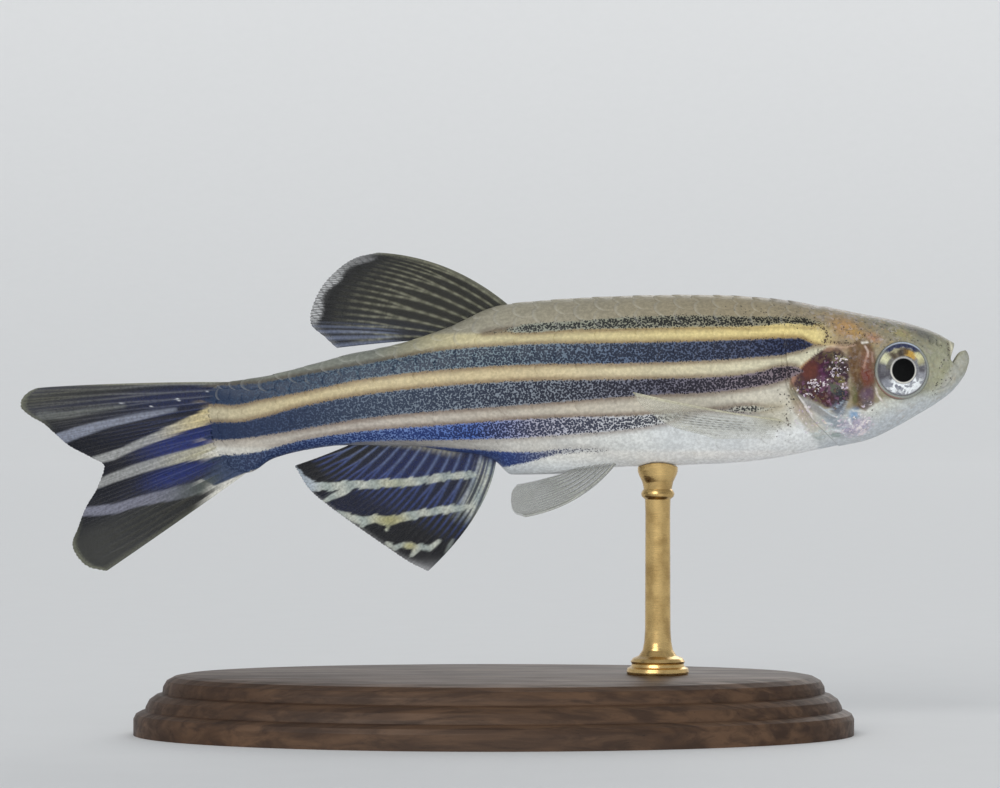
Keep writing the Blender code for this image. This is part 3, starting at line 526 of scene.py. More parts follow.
def head_colours(x, z):
    """Colour of the head, and the shares of gill mottling and of silvery glints; the glints are partly the skin's own
    silver and partly painted highlights.
    """
    # The line between the upper and the paler lower head runs from the gill cover to under the eye.
    line_z = np.interp(x, (14, 17.5, 18.6, 19.6, 21.0, 22.0, 23.5), (-0.6, -0.8, -0.55, -0.25, -0.1, 0.3, 1.0))
    rough = waver(x, z)
    colour = mix(along(UPPER_HEAD, x), along(LOWER_HEAD, x), smooth_step(0.14, -0.14, z - line_z + 0.10 * rough))
    colour = mix(colour, THROAT, smooth_step(-0.9, -2.1, z - (x - 18) * 0.42) * 0.8)
    colour = paint(colour, HEAD_PATCHES, x, z)
    gill = smooth_step(-0.12, 0.14, polygon_depth(x, z, GILL_PATCH) + 0.10 * rough)
    colour = mix(colour, linear(74, 42, 52), gill)
    colour = paint(colour, GILL_PATCHES, x, z, gill)
    colour = colour * (1 - 0.28 * gill)[..., None]
    band = smooth_step(-0.12, 0.14, polygon_depth(x, z, EYE_BAND) + 0.05 * rough)
    colour = mix(colour, linear(120, 92, 68), band * 0.9)
    colour = paint(colour, EYE_BAND_PATCHES, x, z, band)
    colour = colour * (1 - 0.30 * band)[..., None]
    colour = paint(colour, LOW_PATCHES, x, z)
    for half, rgb, strength, points in LIGHT_LINES:
        line = smooth_step(half * 1.8, half * 0.4, distance_to_line(x, z, points))
        colour = mix(colour, linear(*rgb), line * strength)
    # Glints, partly the skin's own silver and partly painted highlights: thinly over the gill patch outside its smooth
    # red part, and strongly at the listed places.
    smooth_red = patch(x, z, (15.6, 1.15), (0.55, 0.5), 30, 0.5)
    glint = gill * 0.11 * (1 - smooth_red)
    for centre, radii, turn, strength in GLINTS:
        glint = np.maximum(glint, strength * patch(x, z, centre, radii, turn, 0.7))
    return colour, gill * (1 - smooth_red), glint


# Where silvery glints lie on the head, partly the skin's own silver and partly painted highlights: centre, radii, turn
# and strength.
GLINTS = (
    ((15.79, 0.55), (0.30, 0.22), -20, 0.95),
    ((15.50, -0.02), (0.28, 0.18), 20, 0.85),
    ((15.95, 0.28), (0.20, 0.16), 0, 0.7),
    ((14.95, 0.30), (0.22, 0.10), 10, 0.8),
    ((16.86, 1.18), (0.22, 0.32), 0, 0.95),
    ((17.20, 1.20), (0.30, 0.26), 0, 0.6),
    ((17.15, 1.70), (0.34, 0.20), 0, 0.8),
    ((16.35, 0.66), (0.34, 0.22), 0, 0.6),
    ((17.30, 0.40), (0.30, 0.22), 0, 0.7),
    ((16.9, -1.45), (1.5, 0.50), 8, 0.55),
    ((17.95, -1.62), (0.85, 0.42), 10, 1.0),
    ((15.3, -1.0), (0.45, 0.60), -30, 0.5),
    ((18.55, -0.5), (0.35, 0.30), 0, 0.4),
)
# Where fine dark freckles lie on the head: centre, radii, turn and how dense they are.
FRECKLES = (
    ((22.55, 1.35), (0.30, 0.75), -10, 0.40),
    ((22.05, 0.55), (0.22, 0.55), -10, 0.45),
    ((21.85, 2.55), (0.35, 0.25), 0, 0.40),
    ((15.6, 2.35), (0.9, 0.30), 0, 0.40),
    ((17.9, 3.0), (1.2, 0.6), -15, 0.16),
    ((15.0, 3.9), (2.5, 0.5), -5, 0.20),
    ((14.45, -0.6), (0.35, 0.8), 5, 0.42),
    ((14.3, -1.7), (0.4, 0.5), 0, 0.3),
    ((20.2, 3.2), (2.0, 0.7), -14, 0.14),
    ((18.9, -0.9), (0.7, 0.25), 0, 0.25),
    ((17.0, 1.6), (0.6, 0.5), 0, 0.7),
)


def freckle_share(x, z):
    share = np.zeros(np.shape(x))
    for centre, radii, turn, dense in FRECKLES:
        share = np.maximum(share, patch(x, z, centre, radii, turn, 0.7) * dense)
    return share


HOOK = ((15.6, 3.55), (16.15, 3.42), (16.42, 3.15), (16.5, 2.85), (16.35, 2.62), (17.0, 2.56), (17.6, 2.5))
LIP_LINE = ((22.66, 2.52), (22.70, 2.05), (22.73, 1.75))
DARK_SPOTS = ((14.62, -0.72), (14.42, -1.05), (14.48, -1.3), (14.62, -1.5), (18.35, 2.9), (17.9, 2.5))


def fine_dark_lines(x, z):
    """Signed distance into the dotted lines before the stripes' ends and by the lip, and the few dark spots."""
    hook = 0.028 - distance_to_line(x, z, HOOK) + 0.03 * smooth_step(16.6, 16.2, x)
    line = 0.020 - distance_to_line(x, z, LIP_LINE)
    spots = np.full(np.shape(x), -9.0)
    for sx, sz in DARK_SPOTS:
        spots = np.maximum(spots, 0.06 - np.hypot(x - sx, z - sz))
    return np.maximum(np.maximum(hook, line), spots)


def new_mesh(name, points, faces, fields=None, uvs=None, smooth=True):
    """An object from points in the fish's frame and faces of three or four corners, with named fields."""
    points = np.array(points, float)
    points[:, 1] += swing(points[:, 0])
    points = (points + (0, 0, AXIS_HEIGHT)) * MM
    return world_mesh(name, points, faces, fields, uvs, smooth)


def world_mesh(name, points, faces, fields=None, uvs=None, smooth=True, closed=True):
    """An object from points in metres, with the faces of a closed piece turned outwards."""
    if closed and signed_volume(np.asarray(points, float), faces) < 0:
        faces = [np.asarray(block)[:, ::-1] for block in faces]
        uvs = reversed_corners(uvs, faces)
    mesh = bpy.data.meshes.new(name)
    mesh.vertices.add(len(points))
    mesh.vertices.foreach_set("co", np.asarray(points, np.float32).ravel())
    corners = np.concatenate([np.asarray(block).ravel() for block in faces])
    sizes = np.concatenate([np.full(len(block), np.shape(block)[1]) for block in faces])
    starts = np.concatenate([[0], np.cumsum(sizes)[:-1]])
    mesh.loops.add(len(corners))
    mesh.loops.foreach_set("vertex_index", corners.astype(np.int32))
    mesh.polygons.add(len(sizes))
    mesh.polygons.foreach_set("loop_start", starts.astype(np.int32))
    for key, values in (fields or {}).items():
        values = np.asarray(values, np.float32)
        if values.ndim == 2:
            rgba = np.ones((len(values), 4), np.float32)
            rgba[:, :3] = values
            made = mesh.attributes.new(key, "FLOAT_COLOR", "POINT")
            made.data.foreach_set("color", rgba.ravel())
        else:
            made = mesh.attributes.new(key, "FLOAT", "POINT")
            made.data.foreach_set("value", values)
    if uvs is not None:
        layer = mesh.uv_layers.new(name="OFBake")
        layer.data.foreach_set("uv", np.asarray(uvs, np.float32).ravel())
    mesh.update(calc_edges=True)
    mesh.validate()
    mesh.polygons.foreach_set("use_smooth", np.full(len(mesh.polygons), smooth))
    made = bpy.data.objects.new(name, mesh)
    bpy.context.scene.collection.objects.link(made)
    return made


def signed_volume(points, faces):
    """Volume in a mesh, negative where its faces are turned inwards."""
    total = 0.0
    for block in faces:
        block = np.asarray(block)
        for k in range(1, block.shape[1] - 1):
            a, b, c = (points[block[:, i]] for i in (0, k, k + 1))
            total += np.einsum("ij,ij->i", a, np.cross(b, c)).sum()
    return total


def reversed_corners(uvs, faces):
    """Corner coordinates of faces whose corners have been put in the opposite order."""
    if uvs is None:
        return None
    turned, start = [], 0
    for block in faces:
        part = np.asarray(uvs)[start:start + block.size].reshape(*block.shape, 2)
        turned.append(part[:, ::-1].reshape(-1, 2))
        start += block.size
    return np.concatenate(turned)


def finish_piece(obj, material, slot, *nodes):
    """Gives a piece its material, and lets it ride on the model in place of CAD nodes. Its slot is not used."""
    obj.data.materials.append(material)
    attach(obj, "root")
    if nodes:
        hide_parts(*nodes)
    return obj


def grid_faces(rows, columns, closed=False, start=0, flip=False):
    """Quads of a grid of points, whose columns may close on themselves."""
    i, k = np.meshgrid(np.arange(rows - 1), np.arange(columns if closed else columns - 1), indexing="ij")
    n = (k + 1) % columns
    quads = np.stack([i * columns + k, i * columns + n, (i + 1) * columns + n, (i + 1) * columns + k], -1)
    quads = quads.reshape(-1, 4) + start
    return quads[:, ::-1] if flip else quads


# Relief lines of the head in the side view: height (a groove's is negative), half width, and points.
HEAD_LINES = (
    ("cheek_plate_edge", 0.035, 0.09, ((18.25, 2.1), (18.0, 1.2), (17.95, 0.3), (18.15, -0.5), (18.7, -1.0))),
    ("cheek_groove", -0.035, 0.07, ((18.05, 2.1), (17.8, 1.2), (17.75, 0.3), (17.95, -0.6), (18.5, -1.15))),
    ("lower_cover_groove", -0.04, 0.06, ((14.9, -0.75), (15.8, -1.0), (16.8, -1.15), (17.9, -1.3))),
    ("under_eye_bone", 0.03, 0.08, ((18.75, 0.3), (19.1, -0.25), (19.7, -0.6), (20.5, -0.65), (21.3, -0.25))),
    ("jaw_groove", -0.05, 0.05, ((22.9, 0.9), (22.75, 0.55), (22.4, 0.25), (22.0, 0.15))),
    ("jaw_plate", 0.03, 0.10, ((22.75, 0.85), (22.5, 0.45), (22.1, 0.35))),
    ("lip_fold", -0.045, 0.04, ((22.62, 2.55), (22.66, 2.0), (22.68, 1.6), (22.74, 1.2))),
    ("brow_groove", -0.02, 0.06, ((19.0, 2.5), (19.9, 2.75), (20.9, 2.65), (21.6, 2.3))),
    ("throat_ray_1", 0.02, 0.05, ((16.0, -1.75), (17.5, -1.85), (18.9, -1.6))),
    ("throat_ray_2", 0.02, 0.05, ((16.2, -2.1), (17.6, -2.15), (18.7, -1.95))),
)
NOSTRILS = ((21.78, 2.62, 0.13, -0.12), (22.14, 2.52, 0.12, -0.14))
NOSTRIL_FLAP = ((21.90, 2.50), (21.97, 2.62), (21.95, 2.76))


def fine_relief(x, z):
    """Height of the head's fine ridges, grooves and nostrils at points of the side view."""
    rise = np.zeros(np.shape(x))
    for name, height, half, points in HEAD_LINES:
        rise += height * np.exp(-((distance_to_line(x, z, points) / half) ** 2))
    for nx, nz, radius, depth in NOSTRILS:
        rise += depth * np.exp(-((np.hypot(x - nx, z - nz) / radius) ** 4))
    return rise + 0.05 * np.exp(-((distance_to_line(x, z, NOSTRIL_FLAP) / 0.05) ** 2))


def eye_basis(side):
    """Centre of an eye, its outward direction and its forward direction."""
    c, s = math.cos(EYE_TURN), math.sin(EYE_TURN)
    centre = np.array([EYE_X, side * EYE_Y, EYE_Z])
    return centre, np.array([s, side * c, 0]), np.array([c, -side * s, 0])


def socket_push(points):
    """Moves the skin under each eye inwards, so that the eye sits in a socket with a low rim."""
    moved = points.copy()
    for side in SIDES.values():
        centre, outward, forward = eye_basis(side)
        away = points - centre
        radius = np.hypot(away @ forward, away[..., 2])
        near = (away @ outward > -0.8) & (points[..., 1] * side > 0)
        depth = 0.75 * smooth_step(1.43, 1.30, radius)
        rim = 0.045 * np.exp(-(((radius - 1.54) / 0.09) ** 2))
        moved += ((rim - depth) * near)[..., None] * outward
    return moved


def scaled_share(place, turn):
    """1 where the body carries scales."""
    top = np.abs(np.mod(turn + math.pi, 2 * math.pi) - math.pi)
    nape = smooth_step(16.9, 16.4, place) * smooth_step(0.95, 0.80, top)
    return np.maximum(smooth_step(15.58, 15.50, place), nape)


def skin():
    """One skin from the mouth to the root of the tail fin."""
    places = np.concatenate([np.linspace(*length) for length in SKIN_LENGTHS])
    turns = 2 * math.pi * np.arange(SKIN_COLUMNS) / SKIN_COLUMNS
    place, turn = np.meshgrid(places, turns, indexing="ij")
    x, y, z = ring(place, turn)
    away = head_relief(place, turn) - COAT_DEPTH * scaled_share(place, turn)
    away = away + fine_relief(x, z) * smooth_step(15.7, 16.2, place)
    down = (1 - np.cos(turn)) / 2
    slit = smooth_step(0.46, 0.56, down) * (1 - smooth_step(0.62, 0.82, down))
    away = away - 0.06 * np.exp(-(((place - 15.52) / 0.07) ** 2)) * slit
    points = np.stack([x, y - away * np.sin(turn), z + away * np.cos(turn)], axis=-1)
    points = socket_push(points).reshape(-1, 3)
    rows, columns = place.shape
    fields = markings(x.ravel(), z.ravel())
    fields["edge"] = np.zeros(rows * columns)
    first, last = points[:columns].mean(axis=0), points[-columns:].mean(axis=0)
    points = np.concatenate([points, [first, last]])
    fields = {key: np.concatenate([v, v[:1], v[-1:]]) for key, v in fields.items()}
    k = np.arange(columns)
    n = (k + 1) % columns
    tail_cap = np.stack([n, k, np.full(columns, rows * columns)], -1)
    mouth_cap = np.stack([k, n, np.full(columns, rows * columns + 1)], -1)
    mouth_cap[:, :2] += (rows - 1) * columns
    quads = grid_faces(rows, columns, closed=True)
    uvs = skin_uvs(places, columns)
    made = new_mesh("fish_skin", points, [quads, tail_cap, mouth_cap], fields, uvs)
    return made


def unwrap(place, turn):
    """Place on the unwrapped skin: along the body, and round it from the back."""
    u = 0.02 + 0.96 * (np.asarray(place) - TAIL_END) / (MOUTH_END - TAIL_END)
    v = 0.02 + 0.94 * np.asarray(turn) / (2 * math.pi)
    return np.stack(np.broadcast_arrays(u, v), axis=-1)


def skin_uvs(places, columns):
    """Corner coordinates of the skin's quads, then of its two end caps."""
    rows = len(places)
    i, k = np.meshgrid(np.arange(rows - 1), np.arange(columns), indexing="ij")
    i, k = i.ravel(), k.ravel()
    step = 2 * math.pi / columns
    corner = [(i, k), (i, k + 1), (i + 1, k + 1), (i + 1, k)]
    quads = np.stack([unwrap(places[a], b * step) for a, b in corner], axis=1).reshape(-1, 2)
    k = np.arange(columns)
    tail = [unwrap(TAIL_END, (k + 1) * step), unwrap(TAIL_END, k * step), unwrap(TAIL_END - 0.2, (k + 0.5) * step)]
    mouth = [unwrap(MOUTH_END, k * step), unwrap(MOUTH_END, (k + 1) * step), unwrap(MOUTH_END + 0.2, (k + 0.5) * step)]
    caps = [np.stack(cap, axis=1).reshape(-1, 2) for cap in (tail, mouth)]
    return np.concatenate([quads, *caps])


def scales(side_name, random):
    """Thin overlapping scale plates over one side, in staggered rows along the body."""
    side = SIDES[side_name]
    rows, columns = SCALE_GRID
    length_share = np.linspace(0, 1, rows)[:, None]
    across = np.linspace(-1, 1, columns)[None, :]
    dense = np.linspace(-0.6, math.pi + 0.6, 400)
    points, faces, uvs, places, edges = [], [], [], [], []
    plate_faces = scale_faces(rows, columns)
    count = 0
    for number, place in enumerate(scale_places()):
        size = along(SCALE_SIZES, place)
        x, y, z = ring(np.full(400, place), dense)
        arc = np.concatenate([[0], np.cumsum(np.sqrt(np.diff(y) ** 2 + np.diff(z) ** 2))])
        middle = np.interp(math.pi / 2, dense, arc)
        stagger = 0.5 * (number % 2)
        for row in range(-10, 11):
            at = middle + (row + stagger) * SCALE_ROW * size
            turn_at = float(np.interp(at, arc, dense))
            if not -0.02 < turn_at < math.pi + 0.02 or at <= arc[0] or at >= arc[-1]:
                continue
            if scaled_share(np.array(place), np.array(turn_at)) < 0.5:
                continue
            jitter = random.uniform(-1, 1, 4)
            reach = SCALE_LENGTH * size * (1 + 0.04 * jitter[0])
            height = SCALE_HEIGHT * size * (1 + 0.04 * jitter[1])
            rear = 1 - 0.30 * np.abs(across) ** 2.4
            along_body = place + 0.35 * size - reach * length_share * rear
            along_body = along_body + 0.03 * jitter[2]
            spread = np.interp(at + 0.03 * jitter[3] + across * height / 2, arc, dense)
            turn = np.broadcast_to(spread, along_body.shape)
            below = 1 - 0.65 * smooth_step(0.45, 0.85, turn_at) - 0.10 * smooth_step(1.9, 2.7, turn_at)
            lift = -SCALE_SUNK + SCALE_RISE * below * length_share * (1 - 0.25 * across**2) - 0.008 * across**2
            lift = lift - 0.012 * smooth_step(0.86, 1.0, length_share)
            thickness = SCALE_THICKNESS * (1 - 0.5 * length_share**6)
            rings = ring(along_body, turn)
            plate = []
            for height_here in (lift, lift - thickness):
                px, py, pz = rings
                plate.append(np.stack([px, py - height_here * np.sin(turn), pz + height_here * np.cos(turn)], -1))
            block = np.concatenate([face.reshape(-1, 3) for face in plate])
            block[:, 1] *= -side
            points.append(block)
            faces.append(plate_faces + count)
            count += len(block)
            centre = unwrap(place, turn_at if side < 0 else 2 * math.pi - turn_at)
            tile = np.stack(np.broadcast_arrays(length_share - 0.5, across / 2), -1).reshape(-1, 2) * SCALE_PATCH
            uvs.append(np.concatenate([tile, tile]) + centre)
            # Share of a plate towards its rear edge, on the back only: it drives a painted highlight on the scales'
            # rear edges.
            on_back = smooth_step(0.95, 0.75, turn_at)
            edges.append(np.tile((length_share * np.ones_like(across)).ravel(), 2) * on_back)
    points = np.concatenate(points)
    faces = np.concatenate(faces)
    uvs = np.concatenate(uvs)[faces.ravel()]
    fields = markings(points[:, 0], points[:, 2])
    fields["edge"] = np.concatenate(edges)
    return new_mesh("scales_" + side_name, points, [faces], fields, uvs)


def scale_places():
    """Places of the columns of scales, closer together where the scales are smaller."""
    places = [SCALE_FIRST]
    while places[-1] < SCALE_LAST + 0.6:
        places.append(places[-1] + SCALE_PITCH * along(SCALE_SIZES, places[-1]))
    return places


def scale_faces(rows, columns):
    """Quads of one plate: its outer face, its inner face and its rim."""
    other = rows * columns
    outer = grid_faces(rows, columns, flip=True)
    inner = grid_faces(rows, columns, start=other)
    rim = list(range(columns))
    rim += [i * columns + columns - 1 for i in range(1, rows)]
    rim += [(rows - 1) * columns + k for k in range(columns - 2, -1, -1)]
    rim += [i * columns for i in range(rows - 2, 0, -1)]
    rim = np.array(rim)
    following = np.roll(rim, -1)
    side = np.stack([rim, following, following + other, rim + other], -1)
    return np.concatenate([outer, inner, side])


# Fins. Each has its number of rays, its root, its margin as (share, x, y, z), and the bows of its first and last
# ray. Membrane half thickness is FIN_HALF, and a ray stands out by RAY_RISE more.
FIN_HALF = 0.030
FIN_ROOT_HALF = 0.10
RAY_RISE = 0.045
FIN_SINK = 0.35
COLUMNS_PER_RAY = 12
FIN_ROWS = 72
DORSAL = {
    "rays": 9,
    "bows": ((0.20, 0, 0.60), (0, 0, 0.04)),
    "margin": (
        (0.00, -5.80, 0, 7.10), (0.20, -7.00, 0, 6.80), (0.40, -8.00, 0, 6.10), (0.60, -8.80, 0, 5.10),
        (0.80, -9.22, 0, 3.80), (0.88, -9.10, 0, 3.36), (0.94, -8.55, 0, 2.90), (1.00, -7.90, 0, 2.30),
    ),
}
ANAL = {
    "rays": 14,
    "bows": ((0.72, 0, 0.05), (0, 0, -0.05)),
    "margin": (
        (0.00, -3.30, 0, -8.90), (0.12, -4.20, 0, -8.45), (0.30, -5.55, 0, -7.55), (0.50, -7.00, 0, -6.55),
        (0.70, -8.30, 0, -5.60), (0.85, -9.25, 0, -4.80), (1.00, -10.00, 0, -3.60),
    ),
}
CAUDAL = {
    "rays": 19,
    "bows": ((0, 0, 0.08), (0.05, 0, 0)),
    "margin": (
        (0.00, -22.40, 0, 0.36), (0.025, -23.20, 0, 0.26), (0.05, -23.78, 0, -0.16), (0.085, -23.90, 0, -0.60),
        (0.13, -23.45, 0, -1.08), (0.18, -22.75, 0, -1.48), (0.23, -22.25, 0, -1.90), (0.33, -21.40, 0, -2.62),
        (0.43, -20.30, 0, -3.20), (0.50, -19.62, 0, -3.66), (0.575, -19.95, 0, -4.65), (0.675, -20.55, 0, -5.70),
        (0.775, -20.98, 0, -6.80), (0.86, -21.25, 0, -7.60), (0.90, -21.05, 0, -8.12), (0.95, -20.45, 0, -8.70),
        (1.00, -19.50, 0, -8.92),
    ),
}
PELVIC = {
    "rays": 8,
    "bows": ((0.30, 0, -0.45), (0.1, 0, -0.1)),
    "margin": (
        (0.00, 1.55, 1.50, -6.10), (0.20, 1.05, 1.42, -5.95), (0.50, 0.85, 1.25, -5.40),
        (0.80, 0.90, 1.05, -4.90), (1.00, 1.15, 0.95, -4.55),
    ),
}
PECTORAL = {
    "rays": 11,
    "bows": ((0, 0.40, -0.12), (0, 0.25, -0.05)),
    "margin": (
        (0.00, 6.75, 4.90, 0.10), (0.25, 7.20, 4.57, -0.55), (0.50, 8.00, 4.11, -1.20),
        (0.75, 9.20, 3.50, -1.75), (1.00, 10.90, 2.75, -2.20),
    ),
}


def margin_line(rows):
    table = np.array(rows, float)

    def place(share):
        return np.stack([smooth_curve(table[:, 0], table[:, k], share) for k in (1, 2, 3)], axis=-1)

    return place


def ray_pattern(share, length, rays):
    """How much of a ray a point of a fin is. Rays branch once or twice on their way to the margin."""
    spacing = 1 / rays
    centre = (np.floor(share / spacing) + 0.5) * spacing
    offset = np.abs(share - centre) / spacing
    first = 0.25 * smooth_step(0.30, 0.62, length)
    second = 0.11 * smooth_step(0.66, 0.92, length)
    width = 0.15 - 0.085 * smooth_step(0.1, 0.9, length)
    near = np.minimum(np.abs(offset - first - second), np.abs(offset - first + second))
    ray = np.exp(-((near / width) ** 2))
    joints = 0.5 + 0.5 * np.cos(2 * math.pi * length * 34 + 2.3 * np.floor(share / spacing))
    return ray * (1 - 0.3 * smooth_step(0.75, 1.0, joints) * smooth_step(0.15, 0.4, length))


def fin_blade(name, fin, root, colour, side=None, rows=FIN_ROWS, wave=0.04):
    """A thin closed sheet with fine branching rays on both faces, and its colours."""
    rays = fin["rays"]
    share = np.linspace(0, 1, rays * COLUMNS_PER_RAY + 1)
    length = np.linspace(0, 1, rows)
    s, v = np.meshgrid(share, length, indexing="xy")
    start, end = root(share), margin_line(fin["margin"])(share)
    chord = end - start
    ray = ray_pattern(np.clip(s, 0, 0.9999), v, rays)
    reach = 0.06 * (ray[-1] - 1)
    end = end + chord / np.linalg.norm(chord, axis=-1, keepdims=True) * reach[:, None]
    bow = np.array(fin["bows"][0]) * (1 - share[:, None]) + np.array(fin["bows"][1]) * share[:, None]
    w = v[..., None]
    points = start + (end - start) * w + bow * 4 * w * (1 - w)
    across = np.gradient(points, axis=1)
    down = np.gradient(points, axis=0)
    normal = np.cross(down, across)
    normal /= np.linalg.norm(normal, axis=-1, keepdims=True)
    normal *= np.sign(normal[..., 1].mean())
    if side is None:
        normal = np.zeros_like(points) + (0, 1.0, 0)
    points = points + normal * (wave * np.sin(s * rays * 1.3 + v * 5.0) * smooth_step(0, 0.5, v))[..., None]
    edge = np.minimum(np.minimum(s, 1 - s) * rays * 1.2, (1 - v) * 14)
    thin = 0.35 + 0.65 * smooth_step(0, 1, edge)
    half = (FIN_HALF + (FIN_ROOT_HALF - FIN_HALF) * (1 - v) ** 6 + RAY_RISE * ray * (1 - 0.5 * v)) * thin
    faces = [points + normal * half[..., None], points - normal * half[..., None]]
    x, z = points[..., 0], points[..., 2]
    tone, alpha = colour(x, z, s, v, ray)
    fields = {"tone": np.tile(tone.reshape(-1, 3), (2, 1)), "alpha": np.tile(alpha.ravel(), 2)}
    fields["ray"] = np.tile(ray.ravel(), 2)
    stack = np.concatenate([face.reshape(-1, 3) for face in faces])
    stack[:, 1] *= side or 1
    quads = scale_faces(rows, len(share))
    u = s.ravel() * 0.46 + 0.02
    w = v.ravel() * 0.96 + 0.02
    flat = np.concatenate([np.stack([u, w], -1), np.stack([u + 0.5, w], -1)])
    return new_mesh(name, stack, [quads], fields, flat[quads.ravel()])


def midline_root(first_x, last_x, height, depth):
    def place(share):
        x = first_x + (last_x - first_x) * share
        return np.stack([x, np.zeros_like(x), station(height, x) - depth], axis=-1)

    return place


def band_depth(x, z, points):
    """Distance into a band of changing half width, from (x, z, half width) points along its middle."""
    depth = np.full(np.shape(x), -9.0)
    for (ax, az, first), (bx, bz, second) in zip(points, points[1:]):
        length = (bx - ax) ** 2 + (bz - az) ** 2
        t = np.clip(((x - ax) * (bx - ax) + (z - az) * (bz - az)) / length, 0, 1)
        away = np.hypot(x - ax - t * (bx - ax), z - az - t * (bz - az))
        depth = np.maximum(depth, first + (second - first) * t - away)
    return depth


def stagger(share, steps, size):
    """An irregular value that changes from one narrow strip along a fin to the next."""
    strip = np.floor(share * steps)
    return size * (np.sin(strip * 2.4) + 0.7 * np.sin(strip * 5.3 + 1))


def dorsal_colour(x, z, share, length, ray):
    membrane = mix(linear(22, 22, 13), linear(18, 23, 34), smooth_step(0.62, 0.9, share))
    membrane = mix(membrane, linear(13, 15, 19), smooth_step(0.60, 0.85, length) * 0.8)
    membrane = mix(membrane, linear(112, 112, 96), smooth_step(0.10, 0.0, share) * 0.7)
    broken = 0.75 + 0.25 * np.sin(length * 70 + 9 * share)
    tone = mix(membrane, linear(132, 132, 114), ray * broken * 0.85 * smooth_step(0.92, 0.55, length))
    low = smooth_step(0.80, 0.92, share) * smooth_step(0.25, 0.5, length) * (0.5 + 0.5 * np.sin(share * 160))
    tone = mix(tone, linear(120, 130, 156), low * 0.6)
    inner = 0.925 + 0.02 * np.sin(share * 23) - 0.04 * smooth_step(0.45, 0.15, share)
    comb = smooth_step(inner, inner + 0.035, length) * smooth_step(0.08, 0.2, share) * smooth_step(0.90, 0.80, share)
    strokes = smooth_step(-0.1, 0.7, np.cos(2 * math.pi * (share * 64 + length * 8)))
    comb = comb * (0.15 + 0.85 * strokes) * (0.45 + 0.55 * smooth_step(0.25, 0.5, share))
    tone = mix(tone, linear(196, 198, 200), comb)
    alpha = 0.88 + 0.10 * ray + 0.12 * comb - 0.30 * smooth_step(0.90, 1.0, length)
    return tone, np.clip(alpha, 0, 0.97)


# Pale bands of the anal fin, as (x, z, half width) points, and those that are only faint.
ANAL_BANDS = (
    ((-9.03, -4.57, 0.20), (-8.45, -4.63, 0.20), (-7.28, -4.57, 0.21), (-6.12, -4.51, 0.21), (-4.96, -4.45, 0.21),
     (-3.80, -4.37, 0.20), (-2.63, -4.16, 0.19), (-1.47, -4.04, 0.18), (-0.95, -4.05, 0.14)),
    ((-9.93, -3.58, 0.05), (-9.61, -4.16, 0.15), (-9.20, -4.63, 0.26), (-8.79, -4.68, 0.22)),
    ((-8.62, -5.42, 0.06), (-7.98, -5.09, 0.16), (-7.28, -4.80, 0.18)),
    ((-7.81, -5.88, 0.06), (-7.28, -6.14, 0.16), (-6.59, -6.37, 0.24), (-5.89, -6.23, 0.18), (-5.36, -6.37, 0.24),
     (-4.72, -6.20, 0.20), (-3.68, -6.00, 0.19), (-2.63, -5.79, 0.19), (-1.59, -5.70, 0.17), (-1.10, -5.58, 0.12)),
    ((-6.53, -6.65, 0.05), (-6.45, -6.35, 0.14)),
    ((-5.36, -6.80, 0.05), (-5.30, -6.40, 0.15)),
    ((-5.36, -7.47, 0.08), (-5.02, -7.71, 0.17), (-4.61, -7.53, 0.13), (-4.20, -7.59, 0.18), (-3.79, -7.65, 0.11),
     (-3.21, -7.71, 0.15), (-2.75, -7.36, 0.10)),
    ((-4.09, -8.11, 0.05), (-3.79, -7.77, 0.12)),
)
FAINT_ANAL_BAND = ((-2.40, -7.90, 0.05), (-2.17, -7.53, 0.11), (-2.05, -7.30, 0.06))
# Centre, radii and strength of the pale bands' yellow places.
YELLOW_SPOTS = (
    ((-5.05, -4.45), (0.70, 0.30), 0.35), ((-5.20, -6.30), (0.75, 0.40), 0.8), ((-4.20, -7.60), (0.30, 0.20), 0.8),
)


